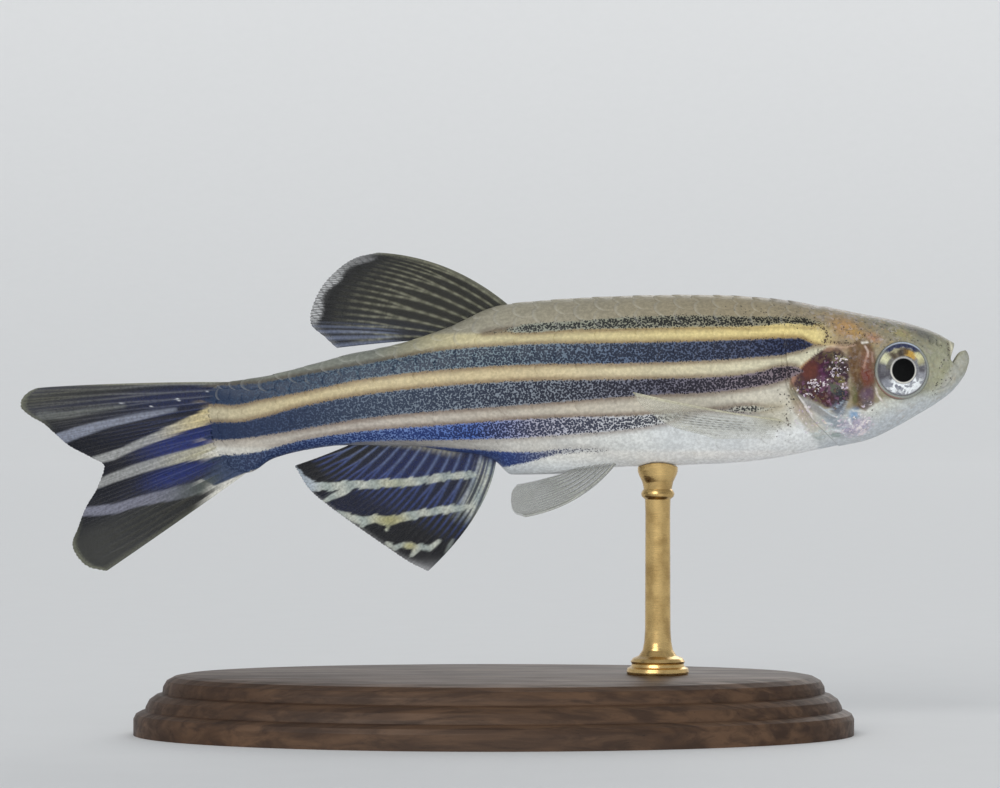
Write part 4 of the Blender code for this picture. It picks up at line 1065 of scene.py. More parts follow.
def anal_colour(x, z, share, length, ray):
    below_first = smooth_step(0.05, -0.05, z - np.interp(x, (-10, -5, -1), (-4.2, -4.45, -4.05)))
    below_second = smooth_step(0.05, -0.05, z - np.interp(x, (-8, -5, -1), (-5.9, -6.25, -5.6)))
    deep = mix(linear(14, 26, 68), linear(10, 17, 42), below_first)
    deep = mix(deep, linear(8, 10, 18), np.maximum(below_second, smooth_step(0.62, 0.88, share)))
    tone = mix(deep, linear(90, 104, 140), ray * 0.85 * smooth_step(0.62, 0.25, length))
    tone = mix(tone, linear(58, 76, 136), ray * 0.6 * smooth_step(0.3, 0.5, length) * smooth_step(0.8, 0.65, length))
    sheath = smooth_step(0.14, 0.05, length) * smooth_step(0.2, 0.35, share) * smooth_step(0.95, 0.8, share)
    tone = mix(tone, linear(160, 158, 142), sheath * (0.35 + 0.5 * np.abs(np.sin(share * 90))))
    jag = stagger(share, 42, 0.035)
    depth = np.full(np.shape(x), -9.0)
    for points in ANAL_BANDS:
        depth = np.maximum(depth, band_depth(x, z, points))
    pale = smooth_step(-0.05, 0.05, depth + jag)
    pale = np.maximum(pale, 0.45 * smooth_step(-0.05, 0.05, band_depth(x, z, FAINT_ANAL_BAND)))
    front = smooth_step(0.17, 0.05, share) * smooth_step(0.04, 0.12, length) * smooth_step(0.66, 0.48, length)
    lines = smooth_step(0.1, 0.8, np.sin(share * 230 + 3 * length))
    pale = np.maximum(pale, front * (0.15 + 0.85 * np.maximum(ray, lines)))
    cream = mix(linear(156, 166, 162), linear(184, 188, 178), 0.5 + 0.5 * np.sin(x * 5.1 + 2 * z))
    for centre, radii, strength in YELLOW_SPOTS:
        cream = mix(cream, linear(164, 158, 100), patch(x, z, centre, radii, 0, 0.9) * strength)
    cream = mix(cream, linear(158, 171, 192), smooth_step(-8.4, -9.2, x) * 0.6)
    tone = mix(tone, cream, pale * (0.80 + 0.20 * ray))
    alpha = 0.92 + 0.06 * ray + 0.08 * pale
    alpha = alpha * (1 - 0.45 * smooth_step(-7.9, -8.8, z)) * (1 - 0.35 * smooth_step(0.96, 1.0, length))
    return tone, np.clip(alpha, 0, 0.98)


# Pale bands of the tail fin: strength, colours at the body's and at the margin's end, and their points.
CAUDAL_BANDS = (
    (1.0, (200, 186, 140), (150, 152, 152), (
        (-11.75, -0.68, 0.36), (-12.94, -0.84, 0.38), (-14.19, -1.06, 0.40), (-15.44, -1.54, 0.30),
        (-16.69, -2.05, 0.23), (-17.94, -2.55, 0.20), (-19.19, -3.11, 0.20), (-20.1, -3.36, 0.18))),
    (1.0, (174, 170, 144), (144, 146, 146), (
        (-11.75, -2.43, 0.34), (-12.94, -2.66, 0.35), (-14.19, -2.82, 0.32), (-15.44, -3.11, 0.28),
        (-16.69, -3.43, 0.27), (-17.94, -3.80, 0.26), (-19.19, -4.24, 0.24), (-20.0, -4.58, 0.21))),
    (0.85, (76, 84, 80), (124, 126, 142), (
        (-13.0, -4.00, 0.30), (-13.56, -4.24, 0.36), (-15.19, -4.80, 0.34), (-16.69, -5.15, 0.28),
        (-17.94, -5.43, 0.25), (-19.19, -5.78, 0.25), (-20.7, -5.96, 0.23))),
    (0.85, (100, 108, 122), (134, 140, 156), (
        (-16.0, -0.78, 0.08), (-17.4, -1.05, 0.14), (-18.56, -1.30, 0.18), (-19.81, -1.61, 0.23),
        (-20.94, -1.93, 0.27), (-22.0, -2.32, 0.30))),
    (0.6, (76, 80, 80), (104, 108, 108), (
        (-18.6, -0.60, 0.10), (-20.2, -0.80, 0.16), (-21.3, -1.02, 0.20), (-22.9, -1.12, 0.20))),
)
# Small painted highlights on the tail fin: centres in the side view.
CAUDAL_GLINTS = ((-18.7, -0.46), (-15.9, -0.25), (-15.8, -0.32), (-17.2, -0.62), (-14.4, 0.12))


def skin_tone(x, z):
    """The body's colour at points of the side view, without its fine grain."""
    fields = markings(x, z)
    striped = mix(fields["under"], fields["tone"], 0.5)
    return mix(fields["ground"], striped, smooth_step(-0.07, 0.05, fields["dark"])) * SKIN_GAIN


def caudal_colour(x, z, share, length, ray):
    upper = smooth_step(0.26, 0.06, share)
    lower = smooth_step(0.70, 0.90, share)
    blue = np.maximum(patch(x, z, (-15.2, -2.35), (2.6, 0.7), 14, 0.6), patch(x, z, (-15.6, -4.05), (1.9, 0.6), 14, 0.6))
    deep = mix(linear(10, 14, 34), linear(16, 32, 92), blue)
    deep = mix(deep, linear(7, 10, 18), smooth_step(0.55, 0.95, length) * 0.7)
    high_blue = patch(x, z, (-15.4, -0.12), (3.4, 0.50), 4, 0.6)
    tone = mix(deep, linear(24, 26, 25), np.maximum(upper * 0.85, lower * 0.9) * (1 - 0.8 * high_blue))
    tone = mix(tone, linear(22, 34, 72), high_blue * 0.7)
    tone = mix(tone, linear(52, 64, 104), ray * 0.45 * smooth_step(0.9, 0.25, length) * (1 - lower))
    tone = mix(tone, linear(64, 64, 56), ray * 0.5 * lower * smooth_step(0.1, 0.3, length))
    streak = 0.5 + 0.5 * np.sin(share * 61 + 2 * np.sin(length * 3))
    tone = mix(tone, linear(20, 26, 58), upper * streak * 0.6 * smooth_step(0.1, 0.3, length))
    jag = stagger(share, 57, 0.022)
    for strength, near, far, points in CAUDAL_BANDS:
        band = smooth_step(-0.07, 0.07, band_depth(x, z, points) + jag) * strength
        rgb = mix(linear(*near), linear(*far), smooth_step(-14.3, -17.5, x))
        tone = mix(tone, rgb, band * (0.78 + 0.22 * ray))
    top_edge = smooth_step(0.035, 0.005, share) * smooth_step(0.9, 0.6, length)
    tone = mix(tone, linear(150, 150, 132), np.clip(top_edge * 0.7 + upper * ray * 0.25, 0, 0.8))
    # Painted highlights: small near-white spots.
    for gx, gz in CAUDAL_GLINTS:
        tone = mix(tone, linear(206, 210, 216), patch(x, z, (gx, gz), (0.06, 0.035), 8, 0.6))
    rim = smooth_step(0.965, 1.0, length) * np.maximum(upper, lower)
    tone = mix(tone, linear(110, 112, 96), np.maximum(rim * 0.8, smooth_step(0.975, 1.0, share) * 0.4))
    alpha = 0.93 + 0.06 * ray - 0.12 * np.maximum(upper, lower) * smooth_step(0.3, 0.9, length)
    on_body = smooth_step(-14.9, -13.5, x + 0.25 * stagger(share, 38, 1.0))
    tone = mix(tone, skin_tone(x, z), on_body)
    alpha = alpha + (1 - alpha) * on_body
    return tone, np.clip(alpha, 0, 0.99)


def pelvic_colour(x, z, share, length, ray):
    tone = mix(linear(96, 100, 98), linear(186, 188, 180), ray * 0.75 + 0.3 * smooth_step(0.15, 0.0, share))
    alpha = 0.16 + (0.55 - 0.22 * smooth_step(0.4, 1.0, length)) * ray + 0.35 * smooth_step(0.08, 0.02, share)
    return tone, np.clip(alpha, 0, 0.95)


def pectoral_colour(x, z, share, length, ray):
    dark = smooth_step(0.16, 0.30, share) * smooth_step(0.82, 0.56, share)
    dark = dark * smooth_step(0.20, 0.40, length) * smooth_step(0.95, 0.72, length)
    dashes = 0.45 + 0.55 * smooth_step(-0.3, 0.4, np.cos(length * 120 + 9 * stagger(share, 11, 1.0)))
    streaks = dark * np.sin(share * 40 + length * 2) ** 8 * dashes
    clear = mix(linear(192, 192, 182), linear(40, 46, 60), streaks)
    front = smooth_step(0.12, 0.03, share)
    tone = mix(clear, linear(200, 197, 174), np.maximum(ray * 0.55, front) * (1 - streaks))
    alpha = 0.12 + 0.22 * ray + 0.40 * front + 0.14 * smooth_step(0.5, 0.9, length)
    alpha = alpha * (1 - 0.35 * smooth_step(0.6, 0.9, share)) + 0.62 * streaks
    return tone, np.clip(alpha, 0, 0.9) * (1 - 0.35 * smooth_step(0.85, 1.0, length))


def flank(x, z):
    """The half width of the trunk at a point of the side view, from rings that stand upright."""
    back_z, belly_z = station(BACK_Z, x), station(BELLY_Z, x)
    turn = np.arccos(np.clip(1 - 2 * (back_z - z) / (back_z - belly_z), -1, 1))
    return -ring(x, turn)[1]


def fins(material):
    """All seven fins."""
    root = midline_root(1.00, -3.10, BACK_Z, FIN_SINK)
    blade = fin_blade("dorsal_fin_blade", DORSAL, root, dorsal_colour)
    finish_piece(blade, material, "fin_clear", "dorsal_fin")
    root = midline_root(0.15, -6.60, BELLY_Z, -FIN_SINK)
    blade = fin_blade("anal_fin_blade", ANAL, root, anal_colour)
    finish_piece(blade, material, "fin_banded", "anal_fin")
    top, bottom = (-12.75, 0, 0.60), (-12.25, 0, -3.85)
    root = margin_line([(0, *top), (0.5, -12.6, 0, -1.66), (1, *bottom)])
    blade = fin_blade("caudal_fin_blade", CAUDAL, root, caudal_colour, rows=96)
    finish_piece(blade, material, "fin_banded", "caudal_fin_upper", "caudal_fin_lower")
    for name, side in SIDES.items():
        ends = [(share, x, 0.72, float(station(BELLY_Z, x)) + FIN_SINK) for share, x in ((0, 6.2), (1, 4.3))]
        blade = fin_blade("pelvic_fin_blade_" + name, PELVIC, margin_line(ends), pelvic_colour, side)
        finish_piece(blade, material, "fin_clear", "pelvic_fin_" + name)
        ends = []
        for share, x, z in ((0, 15.0, -1.35), (1, 14.6, -2.15)):
            ends.append((share, x, float(flank(x, z)) - FIN_SINK, z))
        blade = fin_blade("pectoral_fin_blade_" + name, PECTORAL, margin_line(ends), pectoral_colour, side)
        finish_piece(blade, material, "fin_clear", "pectoral_fin_" + name)


EYE_RINGS = 90
EYE_COLUMNS = 200
# Profile of the eye from its middle: radius and how far it stands out of the eye's centre plane.
EYE_PROFILE = (
    (0.00, 0.545), (0.30, 0.525), (0.55, 0.475), (0.62, 0.450), (0.90, 0.390), (1.15, 0.300), (1.27, 0.245),
    (1.31, 0.235), (1.38, 0.195), (1.43, 0.120), (1.46, 0.000), (1.46, -0.30),
)
IRIS_RADIUS = 1.27
IRIS_FACETS = 420
# Coloured sectors of the iris: middle angle from the snout round by the top, half width, softness, first and
# last share of the iris's breadth, colour and strength.
IRIS_SECTORS = (
    (190, 30, 12, 0.12, 0.98, (66, 64, 72), 0.92),
    (177, 9, 7, 0.30, 0.80, (112, 112, 118), 0.7),
    (218, 12, 8, 0.40, 0.95, (136, 140, 150), 0.8),
    (146, 14, 8, 0.40, 0.95, (214, 214, 172), 0.9),
    (158, 18, 10, 0.10, 0.45, (104, 102, 88), 0.8),
    (92, 44, 12, 0.14, 0.80, (106, 94, 72), 0.9),
    (112, 12, 6, 0.50, 0.78, (176, 172, 140), 0.8),
    (98, 10, 5, 0.20, 0.62, (40, 32, 30), 0.85),
    (124, 8, 5, 0.20, 0.66, (60, 50, 40), 0.8),
    (62, 20, 9, 0.22, 0.66, (200, 160, 72), 0.9),
    (80, 7, 4, 0.30, 0.72, (62, 46, 36), 0.8),
    (38, 14, 8, 0.50, 0.98, (226, 222, 170), 0.9),
    (24, 9, 6, 0.35, 0.90, (170, 166, 128), 0.8),
    (3, 9, 5, 0.35, 0.80, (82, 80, 86), 0.9),
    (346, 8, 5, 0.30, 0.95, (150, 152, 160), 0.8),
)
CRESCENT = (90, 44, 8)  # the dark blue sector at the top: middle angle, half width and softness


def sector(angle, middle, half, soft):
    away = np.abs((angle - middle + 180) % 360 - 180)
    return smooth_step(half + soft, half - soft, away)


def within(share, low, high, soft=0.05):
    return smooth_step(low - soft, low + soft, share) * smooth_step(high + soft, high - soft, share)


def eye_colour(radius, angle, random):
    """Colour of the eye for a radius in mm and an angle from the snout's side round by the top, in degrees."""
    turn = np.radians(angle)
    streak = np.zeros(np.shape(radius))
    for count, size in ((29, 0.30), (53, 0.30), (97, 0.25)):
        streak += size * np.sin(count * turn + random.uniform(0, 6.28) + 2 * radius)
    share = (radius - PUPIL_RADIUS) / (IRIS_RADIUS - PUPIL_RADIUS)
    tone = mix(linear(104, 105, 110), linear(140, 141, 145), 0.5 + 0.5 * streak)
    # Small facets of silver, plain on the sides and bright below the pupil.
    x, z = radius * np.cos(turn), radius * np.sin(turn)
    seeds = random.uniform(-IRIS_RADIUS, IRIS_RADIUS, (IRIS_FACETS, 2))
    away = np.hypot(x[..., None] - seeds[:, 0], z[..., None] - seeds[:, 1])
    facet = random.random(IRIS_FACETS)[away.argmin(axis=-1)]
    below = sector(angle, 272, 62, 14)
    tone = mix(tone, linear(164, 168, 176), below * within(share, 0.12, 0.90) * 0.7)
    bright = smooth_step(0.40, 0.75, facet) * within(share, 0.16, 0.90)
    tone = mix(tone, linear(236, 241, 244), below * bright * 0.9)
    tone = mix(tone, linear(84, 88, 108), below * smooth_step(0.24, 0.10, facet) * within(share, 0.12, 0.96) * 0.6)
    tone = mix(tone, linear(196, 198, 198), (1 - below) * (facet > 0.82) * within(share, 0.1, 0.9) * 0.4)
    for middle, half, soft, low, high, rgb, strength in IRIS_SECTORS:
        mask = sector(angle, middle, half, soft) * within(share, low, high) * strength
        tone = mix(tone, linear(*rgb), mask * (0.85 + 0.25 * streak))
    inner = 0.80 + 0.05 * np.sin(turn * 17) + 0.04 * streak
    crescent = sector(angle, *CRESCENT) * smooth_step(inner - 0.04, inner + 0.05, share) * smooth_step(1.10, 1.03, share)
    tone = mix(tone, linear(30, 38, 74), crescent * np.clip(0.86 + 0.25 * streak, 0, 0.97))
    tone = mix(tone, linear(190, 202, 222), sector(angle, 96, 50, 8) * within(share, 1.10, 1.20, 0.03) * 0.8)
    ring_white = within(radius, PUPIL_RADIUS + 0.012, 0.665, 0.012)
    dim = 0.45 + 0.55 * sector(angle, 268, 110, 40)
    tone = mix(tone, linear(204, 202, 194), ring_white * dim)
    away_from_top = 1 - sector(angle, *CRESCENT)
    tone = mix(tone, linear(98, 100, 98), within(radius, 1.245, 1.285, 0.015) * 0.8 * away_from_top)
    tone = mix(tone, linear(144, 148, 142), smooth_step(1.275, 1.31, radius) * away_from_top)
    tone = mix(tone, linear(150, 108, 98), sector(angle, 232, 38, 12) * smooth_step(1.35, 1.39, radius) * 0.8)
    tone = mix(tone, linear(112, 112, 104), smooth_step(1.40, 1.45, radius) * 0.7)
    return mix(tone, linear(2, 2, 3), smooth_step(PUPIL_RADIUS + 0.010, PUPIL_RADIUS - 0.010, radius))


def eye(name, side, material, random):
    """One domed eye: pupil, iris and the clear rim round it."""
    centre, outward, forward = eye_basis(side)
    table = np.array(EYE_PROFILE)
    length = np.concatenate([[0], np.cumsum(np.hypot(*np.diff(table, axis=0).T))])
    at = np.linspace(0, length[-1], EYE_RINGS)[1:]
    radius = np.interp(at, length, table[:, 0])
    height = np.interp(at, length, table[:, 1])
    angle = 360 * np.arange(EYE_COLUMNS) / EYE_COLUMNS
    r, a = np.meshgrid(radius, angle, indexing="ij")
    h = np.broadcast_to(height[:, None], r.shape)
    turn = np.radians(a)
    points = centre + r[..., None] * (np.cos(turn)[..., None] * forward + np.sin(turn)[..., None] * np.array([0, 0, 1.0]))
    points = (points + h[..., None] * outward).reshape(-1, 3)
    tone = eye_colour(r, a, random).reshape(-1, 3)
    points = np.concatenate([points, [centre + outward * table[0, 1], centre + outward * table[-1, 1]]])
    tone = np.concatenate([tone, [linear(3, 3, 4)], tone[-1:]])
    rows = len(at)
    quads = grid_faces(rows, EYE_COLUMNS, closed=True)
    k = np.arange(EYE_COLUMNS)
    n = (k + 1) % EYE_COLUMNS
    front = np.stack([n, k, np.full(EYE_COLUMNS, rows * EYE_COLUMNS)], -1)
    back = np.stack([k, n, np.full(EYE_COLUMNS, rows * EYE_COLUMNS + 1)], -1)
    back[:, :2] += (rows - 1) * EYE_COLUMNS
    made = new_mesh("eye_dome_" + name, points, [quads, front, back], {"tone": tone})
    return finish_piece(made, material, "eye_silver", "eye_" + name)


class Shader:
    """A material and short ways to add nodes to it."""

    def __init__(self, name):
        self.material = bpy.data.materials.new(name)
        self.material.use_nodes = True
        self.nodes = self.material.node_tree.nodes
        self.links = self.material.node_tree.links
        self.surface = self.nodes["Principled BSDF"]
        self.place = self.node("ShaderNodeTexCoord").outputs["Object"]

    def node(self, kind, **settings):
        made = self.nodes.new(kind)
        for key, value in settings.items():
            setattr(made, key, value)
        return made

    def put(self, socket, value):
        if isinstance(value, bpy.types.NodeSocket):
            self.links.new(value, socket)
        elif value is not None:
            socket.default_value = value

    def field(self, name, colour=False):
        made = self.node("ShaderNodeAttribute", attribute_name=name)
        return made.outputs["Color" if colour else "Fac"]

    def moved(self, shift):
        """The place of a point, moved by this many millimetres."""
        if not shift:
            return self.place
        made = self.node("ShaderNodeVectorMath", operation="ADD")
        self.put(made.inputs[0], self.place)
        made.inputs[1].default_value = (shift * MM, shift * MM, shift * MM)
        return made.outputs[0]

    def warped(self, size, reach):
        """The place of a point, moved about by noise so that cells lose their straight edges."""
        made = self.node("ShaderNodeTexNoise")
        self.put(made.inputs["Vector"], self.place)
        self.put(made.inputs["Scale"], 1 / (size * MM))
        scaled = self.node("ShaderNodeVectorMath", operation="SCALE")
        self.put(scaled.inputs[0], made.outputs["Color"])
        scaled.inputs["Scale"].default_value = reach * MM
        added = self.node("ShaderNodeVectorMath", operation="ADD")
        self.put(added.inputs[0], self.place)
        self.put(added.inputs[1], scaled.outputs[0])
        return added.outputs[0]

    def wavy_lines(self, size, width, shift=0.0):
        """Thin wavering lines, where noise passes its middle value."""
        away = self.math("ABSOLUTE", self.math("SUBTRACT", self.noise(size, 1.0, shift=shift), 0.5))
        return self.ramp(away, width, width * 0.3)

    def noise(self, size, detail=2.0, roughness=0.5, distortion=0.0, shift=0.0):
        """Noise with features about this many millimetres across."""
        made = self.node("ShaderNodeTexNoise")
        self.put(made.inputs["Vector"], self.moved(shift))
        self.put(made.inputs["Scale"], 1 / (size * MM))
        self.put(made.inputs["Detail"], detail)
        self.put(made.inputs["Roughness"], roughness)
        self.put(made.inputs["Distortion"], distortion)
        return made.outputs["Fac"]

    def cell_node(self, size, randomness=1.0, shift=0.0, place=None):
        """Cells about this many millimetres across."""
        made = self.node("ShaderNodeTexVoronoi")
        self.put(made.inputs["Vector"], place or self.moved(shift))
        self.put(made.inputs["Scale"], 1 / (size * MM))
        self.put(made.inputs["Randomness"], randomness)
        return made

    def parts(self, colour):
        """The three parts of a colour."""
        made = self.node("ShaderNodeSeparateColor")
        self.put(made.inputs[0], colour)
        return made.outputs[:3]

    def grey(self, value):
        """A grey colour from a number."""
        made = self.node("ShaderNodeCombineColor")
        for socket in made.inputs[:3]:
            self.put(socket, value)
        return made.outputs[0]

    def math(self, operation, first, second=0.0, third=0.0):
        made = self.node("ShaderNodeMath", operation=operation)
        for socket, value in zip(made.inputs, (first, second, third)):
            self.put(socket, value)
        return made.outputs[0]

    def ramp(self, value, low, high, start=0.0, end=1.0):
        made = self.node("ShaderNodeMapRange", interpolation_type="SMOOTHSTEP")
        for key, given in (("Value", value), ("From Min", low), ("From Max", high), ("To Min", start), ("To Max", end)):
            self.put(made.inputs[key], given)
        return made.outputs["Result"]

    def mix(self, share, first, second, blend="MIX"):
        made = self.node("ShaderNodeMix", data_type="RGBA", blend_type=blend)
        self.put(made.inputs[0], share)
        self.put(made.inputs[6], first if not isinstance(first, tuple) else (*first, 1))
        self.put(made.inputs[7], second if not isinstance(second, tuple) else (*second, 1))
        return made.outputs[2]

    def bump(self, height, distance, strength=1.0):
        made = self.node("ShaderNodeBump")
        self.put(made.inputs["Height"], height)
        self.put(made.inputs["Distance"], distance * MM)
        self.put(made.inputs["Strength"], strength)
        self.put(self.surface.inputs["Normal"], made.outputs["Normal"])

    def set(self, **values):
        for key, value in values.items():
            self.put(self.surface.inputs[key.replace("_", " ")], value)


def skin_material():
    """Pearly skin: stippled dark stripes, fine mottling, gill mottling, freckles and silvery glints, which are partly
    painted highlights.
    """
    s = Shader("fish_skin")
    ground, tone = s.field("ground", True), s.field("tone", True)
    dark, gill, glint, edge = s.field("dark"), s.field("gill"), s.field("glint"), s.field("edge")
    broad = s.noise(1.6, 3.0)
    fine = s.noise(0.16, 3.0, 0.6)
    colour = s.mix(s.ramp(broad, 0.35, 0.65, 0.0, 0.35), ground, s.mix(1.0, ground, (0.80, 0.82, 0.86), "MULTIPLY"))
    speck = s.ramp(fine, 0.35, 0.7, 0.86, 1.12)
    colour = s.mix(1.0, colour, s.grey(speck), "MULTIPLY")
    # The head's skin is blotched with lilac and with warm tan.
    head = s.field("head")
    blotch = s.noise(0.42, 4.0, 0.65)
    colour = s.mix(s.math("MULTIPLY", head, s.ramp(blotch, 0.55, 0.70, 0, 0.30)), colour, (0.42, 0.38, 0.40))
    colour = s.mix(s.math("MULTIPLY", head, s.ramp(blotch, 0.45, 0.30, 0, 0.28)), colour, (0.34, 0.26, 0.16))
    mottle = s.field("mottle")
    red, green, blue = s.parts(s.cell_node(0.15, 1.0, place=s.warped(0.13, 0.30)).outputs["Color"])
    colour = s.mix(s.math("MULTIPLY", mottle, s.ramp(red, 0.64, 1.0, 0, 0.40)), colour, (0.50, 0.47, 0.52))
    colour = s.mix(s.math("MULTIPLY", mottle, s.ramp(green, 0.60, 1.0, 0, 0.55)), colour, (0.15, 0.13, 0.10))
    colour = s.mix(s.math("MULTIPLY", mottle, s.ramp(blue, 0.70, 1.0, 0, 0.40)), colour, (0.44, 0.31, 0.13))
    ragged = s.math("ADD", dark, s.math("MULTIPLY", s.math("SUBTRACT", fine, 0.5), 0.22))
    inside = s.ramp(ragged, -0.08, 0.04)
    colour = s.mix(inside, colour, s.mix(1.0, s.field("under", True), s.grey(speck), "MULTIPLY"))
    dots = s.cell_node(0.094, 0.95)
    size = s.ramp(dark, -0.24, 0.14, 0.0, 0.61)
    spotted = s.ramp(s.math("SUBTRACT", dots.outputs["Distance"], size), 0.07, -0.05)
    spotted = s.math("MULTIPLY", spotted, s.ramp(dark, -0.22, -0.12, 0.0, 0.95))
    colour = s.mix(spotted, colour, tone)
    # Gill cover: small blots of purple, near black, gold and pink in the red, without straight edges.
    warped = s.warped(0.16, 0.30)
    red, green, blue = s.parts(s.cell_node(0.15, 1.0, place=warped).outputs["Color"])
    colour = s.mix(s.math("MULTIPLY", gill, s.ramp(red, 0.56, 0.70, 0, 0.85)), colour, (0.038, 0.016, 0.030))
    colour = s.mix(s.math("MULTIPLY", gill, s.ramp(green, 0.80, 0.92, 0, 0.45)), colour, (0.20, 0.15, 0.07))
    colour = s.mix(s.math("MULTIPLY", gill, s.ramp(blue, 0.82, 0.94, 0, 0.55)), colour, (0.20, 0.08, 0.17))
    # Silvery glints, partly the skin's own silver and partly painted highlights: small broken flecks and thin wavering
    # lines.
    first, second, third = s.parts(s.cell_node(0.085, 1.0, place=s.warped(0.12, 0.16)).outputs["Color"])
    flecks = s.ramp(s.math("ADD", first, s.math("MULTIPLY", glint, 0.40)), 0.98, 1.12, 0.0, 0.92)
    patchy = s.ramp(s.noise(0.5, 2.0, shift=5.0), 0.44, 0.58)
    lines = s.math("MULTIPLY", s.wavy_lines(0.34, 0.030, 2.0), s.math("MULTIPLY", patchy, s.ramp(glint, 0.3, 1.0, 0, 0.7)))
    shine = s.math("MULTIPLY", s.math("MAXIMUM", flecks, lines), s.ramp(glint, 0.02, 0.2))
    colour = s.mix(shine, colour, s.mix(second, (0.50, 0.42, 0.56), (0.84, 0.80, 0.80)))
    # Freckles.
    freckle = s.field("freckle")
    specks = s.cell_node(0.11, 1.0, place=s.warped(0.10, 0.10))
    pick, reach, _ = s.parts(specks.outputs["Color"])
    chosen = s.math("LESS_THAN", pick, freckle)
    away = s.math("SUBTRACT", specks.outputs["Distance"], s.math("MULTIPLY", reach, 0.20))
    speckled = s.math("MULTIPLY", chosen, s.ramp(away, 0.34, 0.16, 0.0, 0.80))
    colour = s.mix(speckled, colour, (0.040, 0.036, 0.034))
    # Painted highlight: the scales' rear edges on the back are made paler, as where they catch the light from above.
    colour = s.mix(s.ramp(edge, 0.84, 1.0, 0.0, 0.20), colour, (0.62, 0.63, 0.60))
    s.set(Base_Color=s.mix(1.0, colour, SKIN_GAIN, "MULTIPLY"))
    roughness = s.ramp(fine, 0.3, 0.7, 0.34, 0.48)
    roughness = s.math("ADD", roughness, s.ramp(edge, 0.70, 0.95, 0.0, 0.35))
    s.set(Roughness=s.math("SUBTRACT", roughness, s.math("MULTIPLY", shine, 0.20)))
    s.set(Specular_IOR_Level=0.22, Coat_Weight=0.08, Coat_Roughness=0.16, Coat_IOR=1.4)
    s.bump(s.math("ADD", s.noise(0.09, 2.0), s.math("MULTIPLY", broad, 1.5)), 0.012, 0.4)
    return s.material


def fin_material():
    s = Shader("fin_membrane")
    tone, alpha, ray = s.field("tone", True), s.field("alpha"), s.field("ray")
    fine = s.noise(0.12, 3.0, 0.6)
    colour = s.mix(1.0, tone, s.grey(s.ramp(fine, 0.3, 0.7, 0.80, 1.20)), "MULTIPLY")
    s.set(Base_Color=colour, Alpha=s.math("MULTIPLY", alpha, s.ramp(fine, 0.2, 0.6, 0.88, 1.0)))
    s.set(Roughness=s.ramp(ray, 0, 1, 0.42, 0.30), Specular_IOR_Level=0.2)
    s.bump(s.noise(0.08, 2.0), 0.006, 0.5)
    return s.material


def eye_material():
    s = Shader("eye_gloss")
    tone = s.field("tone", True)
    fine = s.noise(0.05, 3.0)
    s.set(Base_Color=s.mix(1.0, tone, s.grey(s.ramp(fine, 0.3, 0.7, 0.88, 1.12)), "MULTIPLY"))
    s.set(Roughness=s.ramp(fine, 0.3, 0.7, 0.28, 0.40), Specular_IOR_Level=0.08)
    s.set(Coat_Weight=0.14, Coat_Roughness=0.03, Coat_IOR=1.33)
    return s.material


def wood_material():
    s = Shader("dark_walnut")
    mapping = s.node("ShaderNodeMapping")
    s.put(mapping.inputs["Vector"], s.place)
    mapping.inputs["Scale"].default_value = (0.12, 1.0, 1.0)
    s.place = mapping.outputs["Vector"]
    grain = s.noise(0.55, 6.0, 0.6, 0.6)
    pores = s.noise(0.10, 4.0, 0.7)
    rings = s.noise(2.4, 3.0, 0.5, 1.2)
    colour = s.mix(s.ramp(rings, 0.35, 0.65), (0.058, 0.030, 0.016), (0.105, 0.058, 0.032))
    colour = s.mix(s.ramp(grain, 0.35, 0.65, 0, 0.8), colour, (0.030, 0.016, 0.010))
    colour = s.mix(s.ramp(pores, 0.62, 0.72, 0, 0.7), colour, (0.012, 0.008, 0.006))
    s.set(Base_Color=colour, Roughness=s.ramp(grain, 0.3, 0.7, 0.46, 0.60))
    s.set(Specular_IOR_Level=0.25, Coat_Weight=0.04, Coat_Roughness=0.30)
    s.bump(s.math("ADD", grain, pores), 0.02, 0.35)
    return s.material


def brass_material():
    s = Shader("turned_brass")
    mapping = s.node("ShaderNodeMapping")
    s.put(mapping.inputs["Vector"], s.place)
    mapping.inputs["Scale"].default_value = (0.05, 0.05, 1.0)
    stretched = mapping.outputs["Vector"]
    tarnish = s.noise(0.9, 4.0)
    s.place = stretched
    lines = s.noise(0.03, 3.0, 0.7)
    colour = s.mix(s.ramp(tarnish, 0.4, 0.7), (0.72, 0.50, 0.21), (0.50, 0.33, 0.13))
    s.set(Base_Color=colour, Metallic=1.0, Roughness=s.ramp(lines, 0.3, 0.7, 0.18, 0.34))
    s.bump(lines, 0.004, 0.4)
    return s.material


# Plinth outline from the floor up to its flat top: how far in from the full oval, and the height.
PLINTH_PROFILE = (
    (0.00, 0.00), (0.00, 0.80), (0.12, 1.04), (0.38, 1.18), (0.58, 1.24), (0.62, 1.42), (0.80, 1.76),
    (1.14, 2.00), (1.44, 2.08), (1.48, 2.40), (1.66, 2.70), (2.04, 2.90), (2.60, 3.00),
)
PLINTH_COLUMNS = 240
ROD_COLUMNS = 64


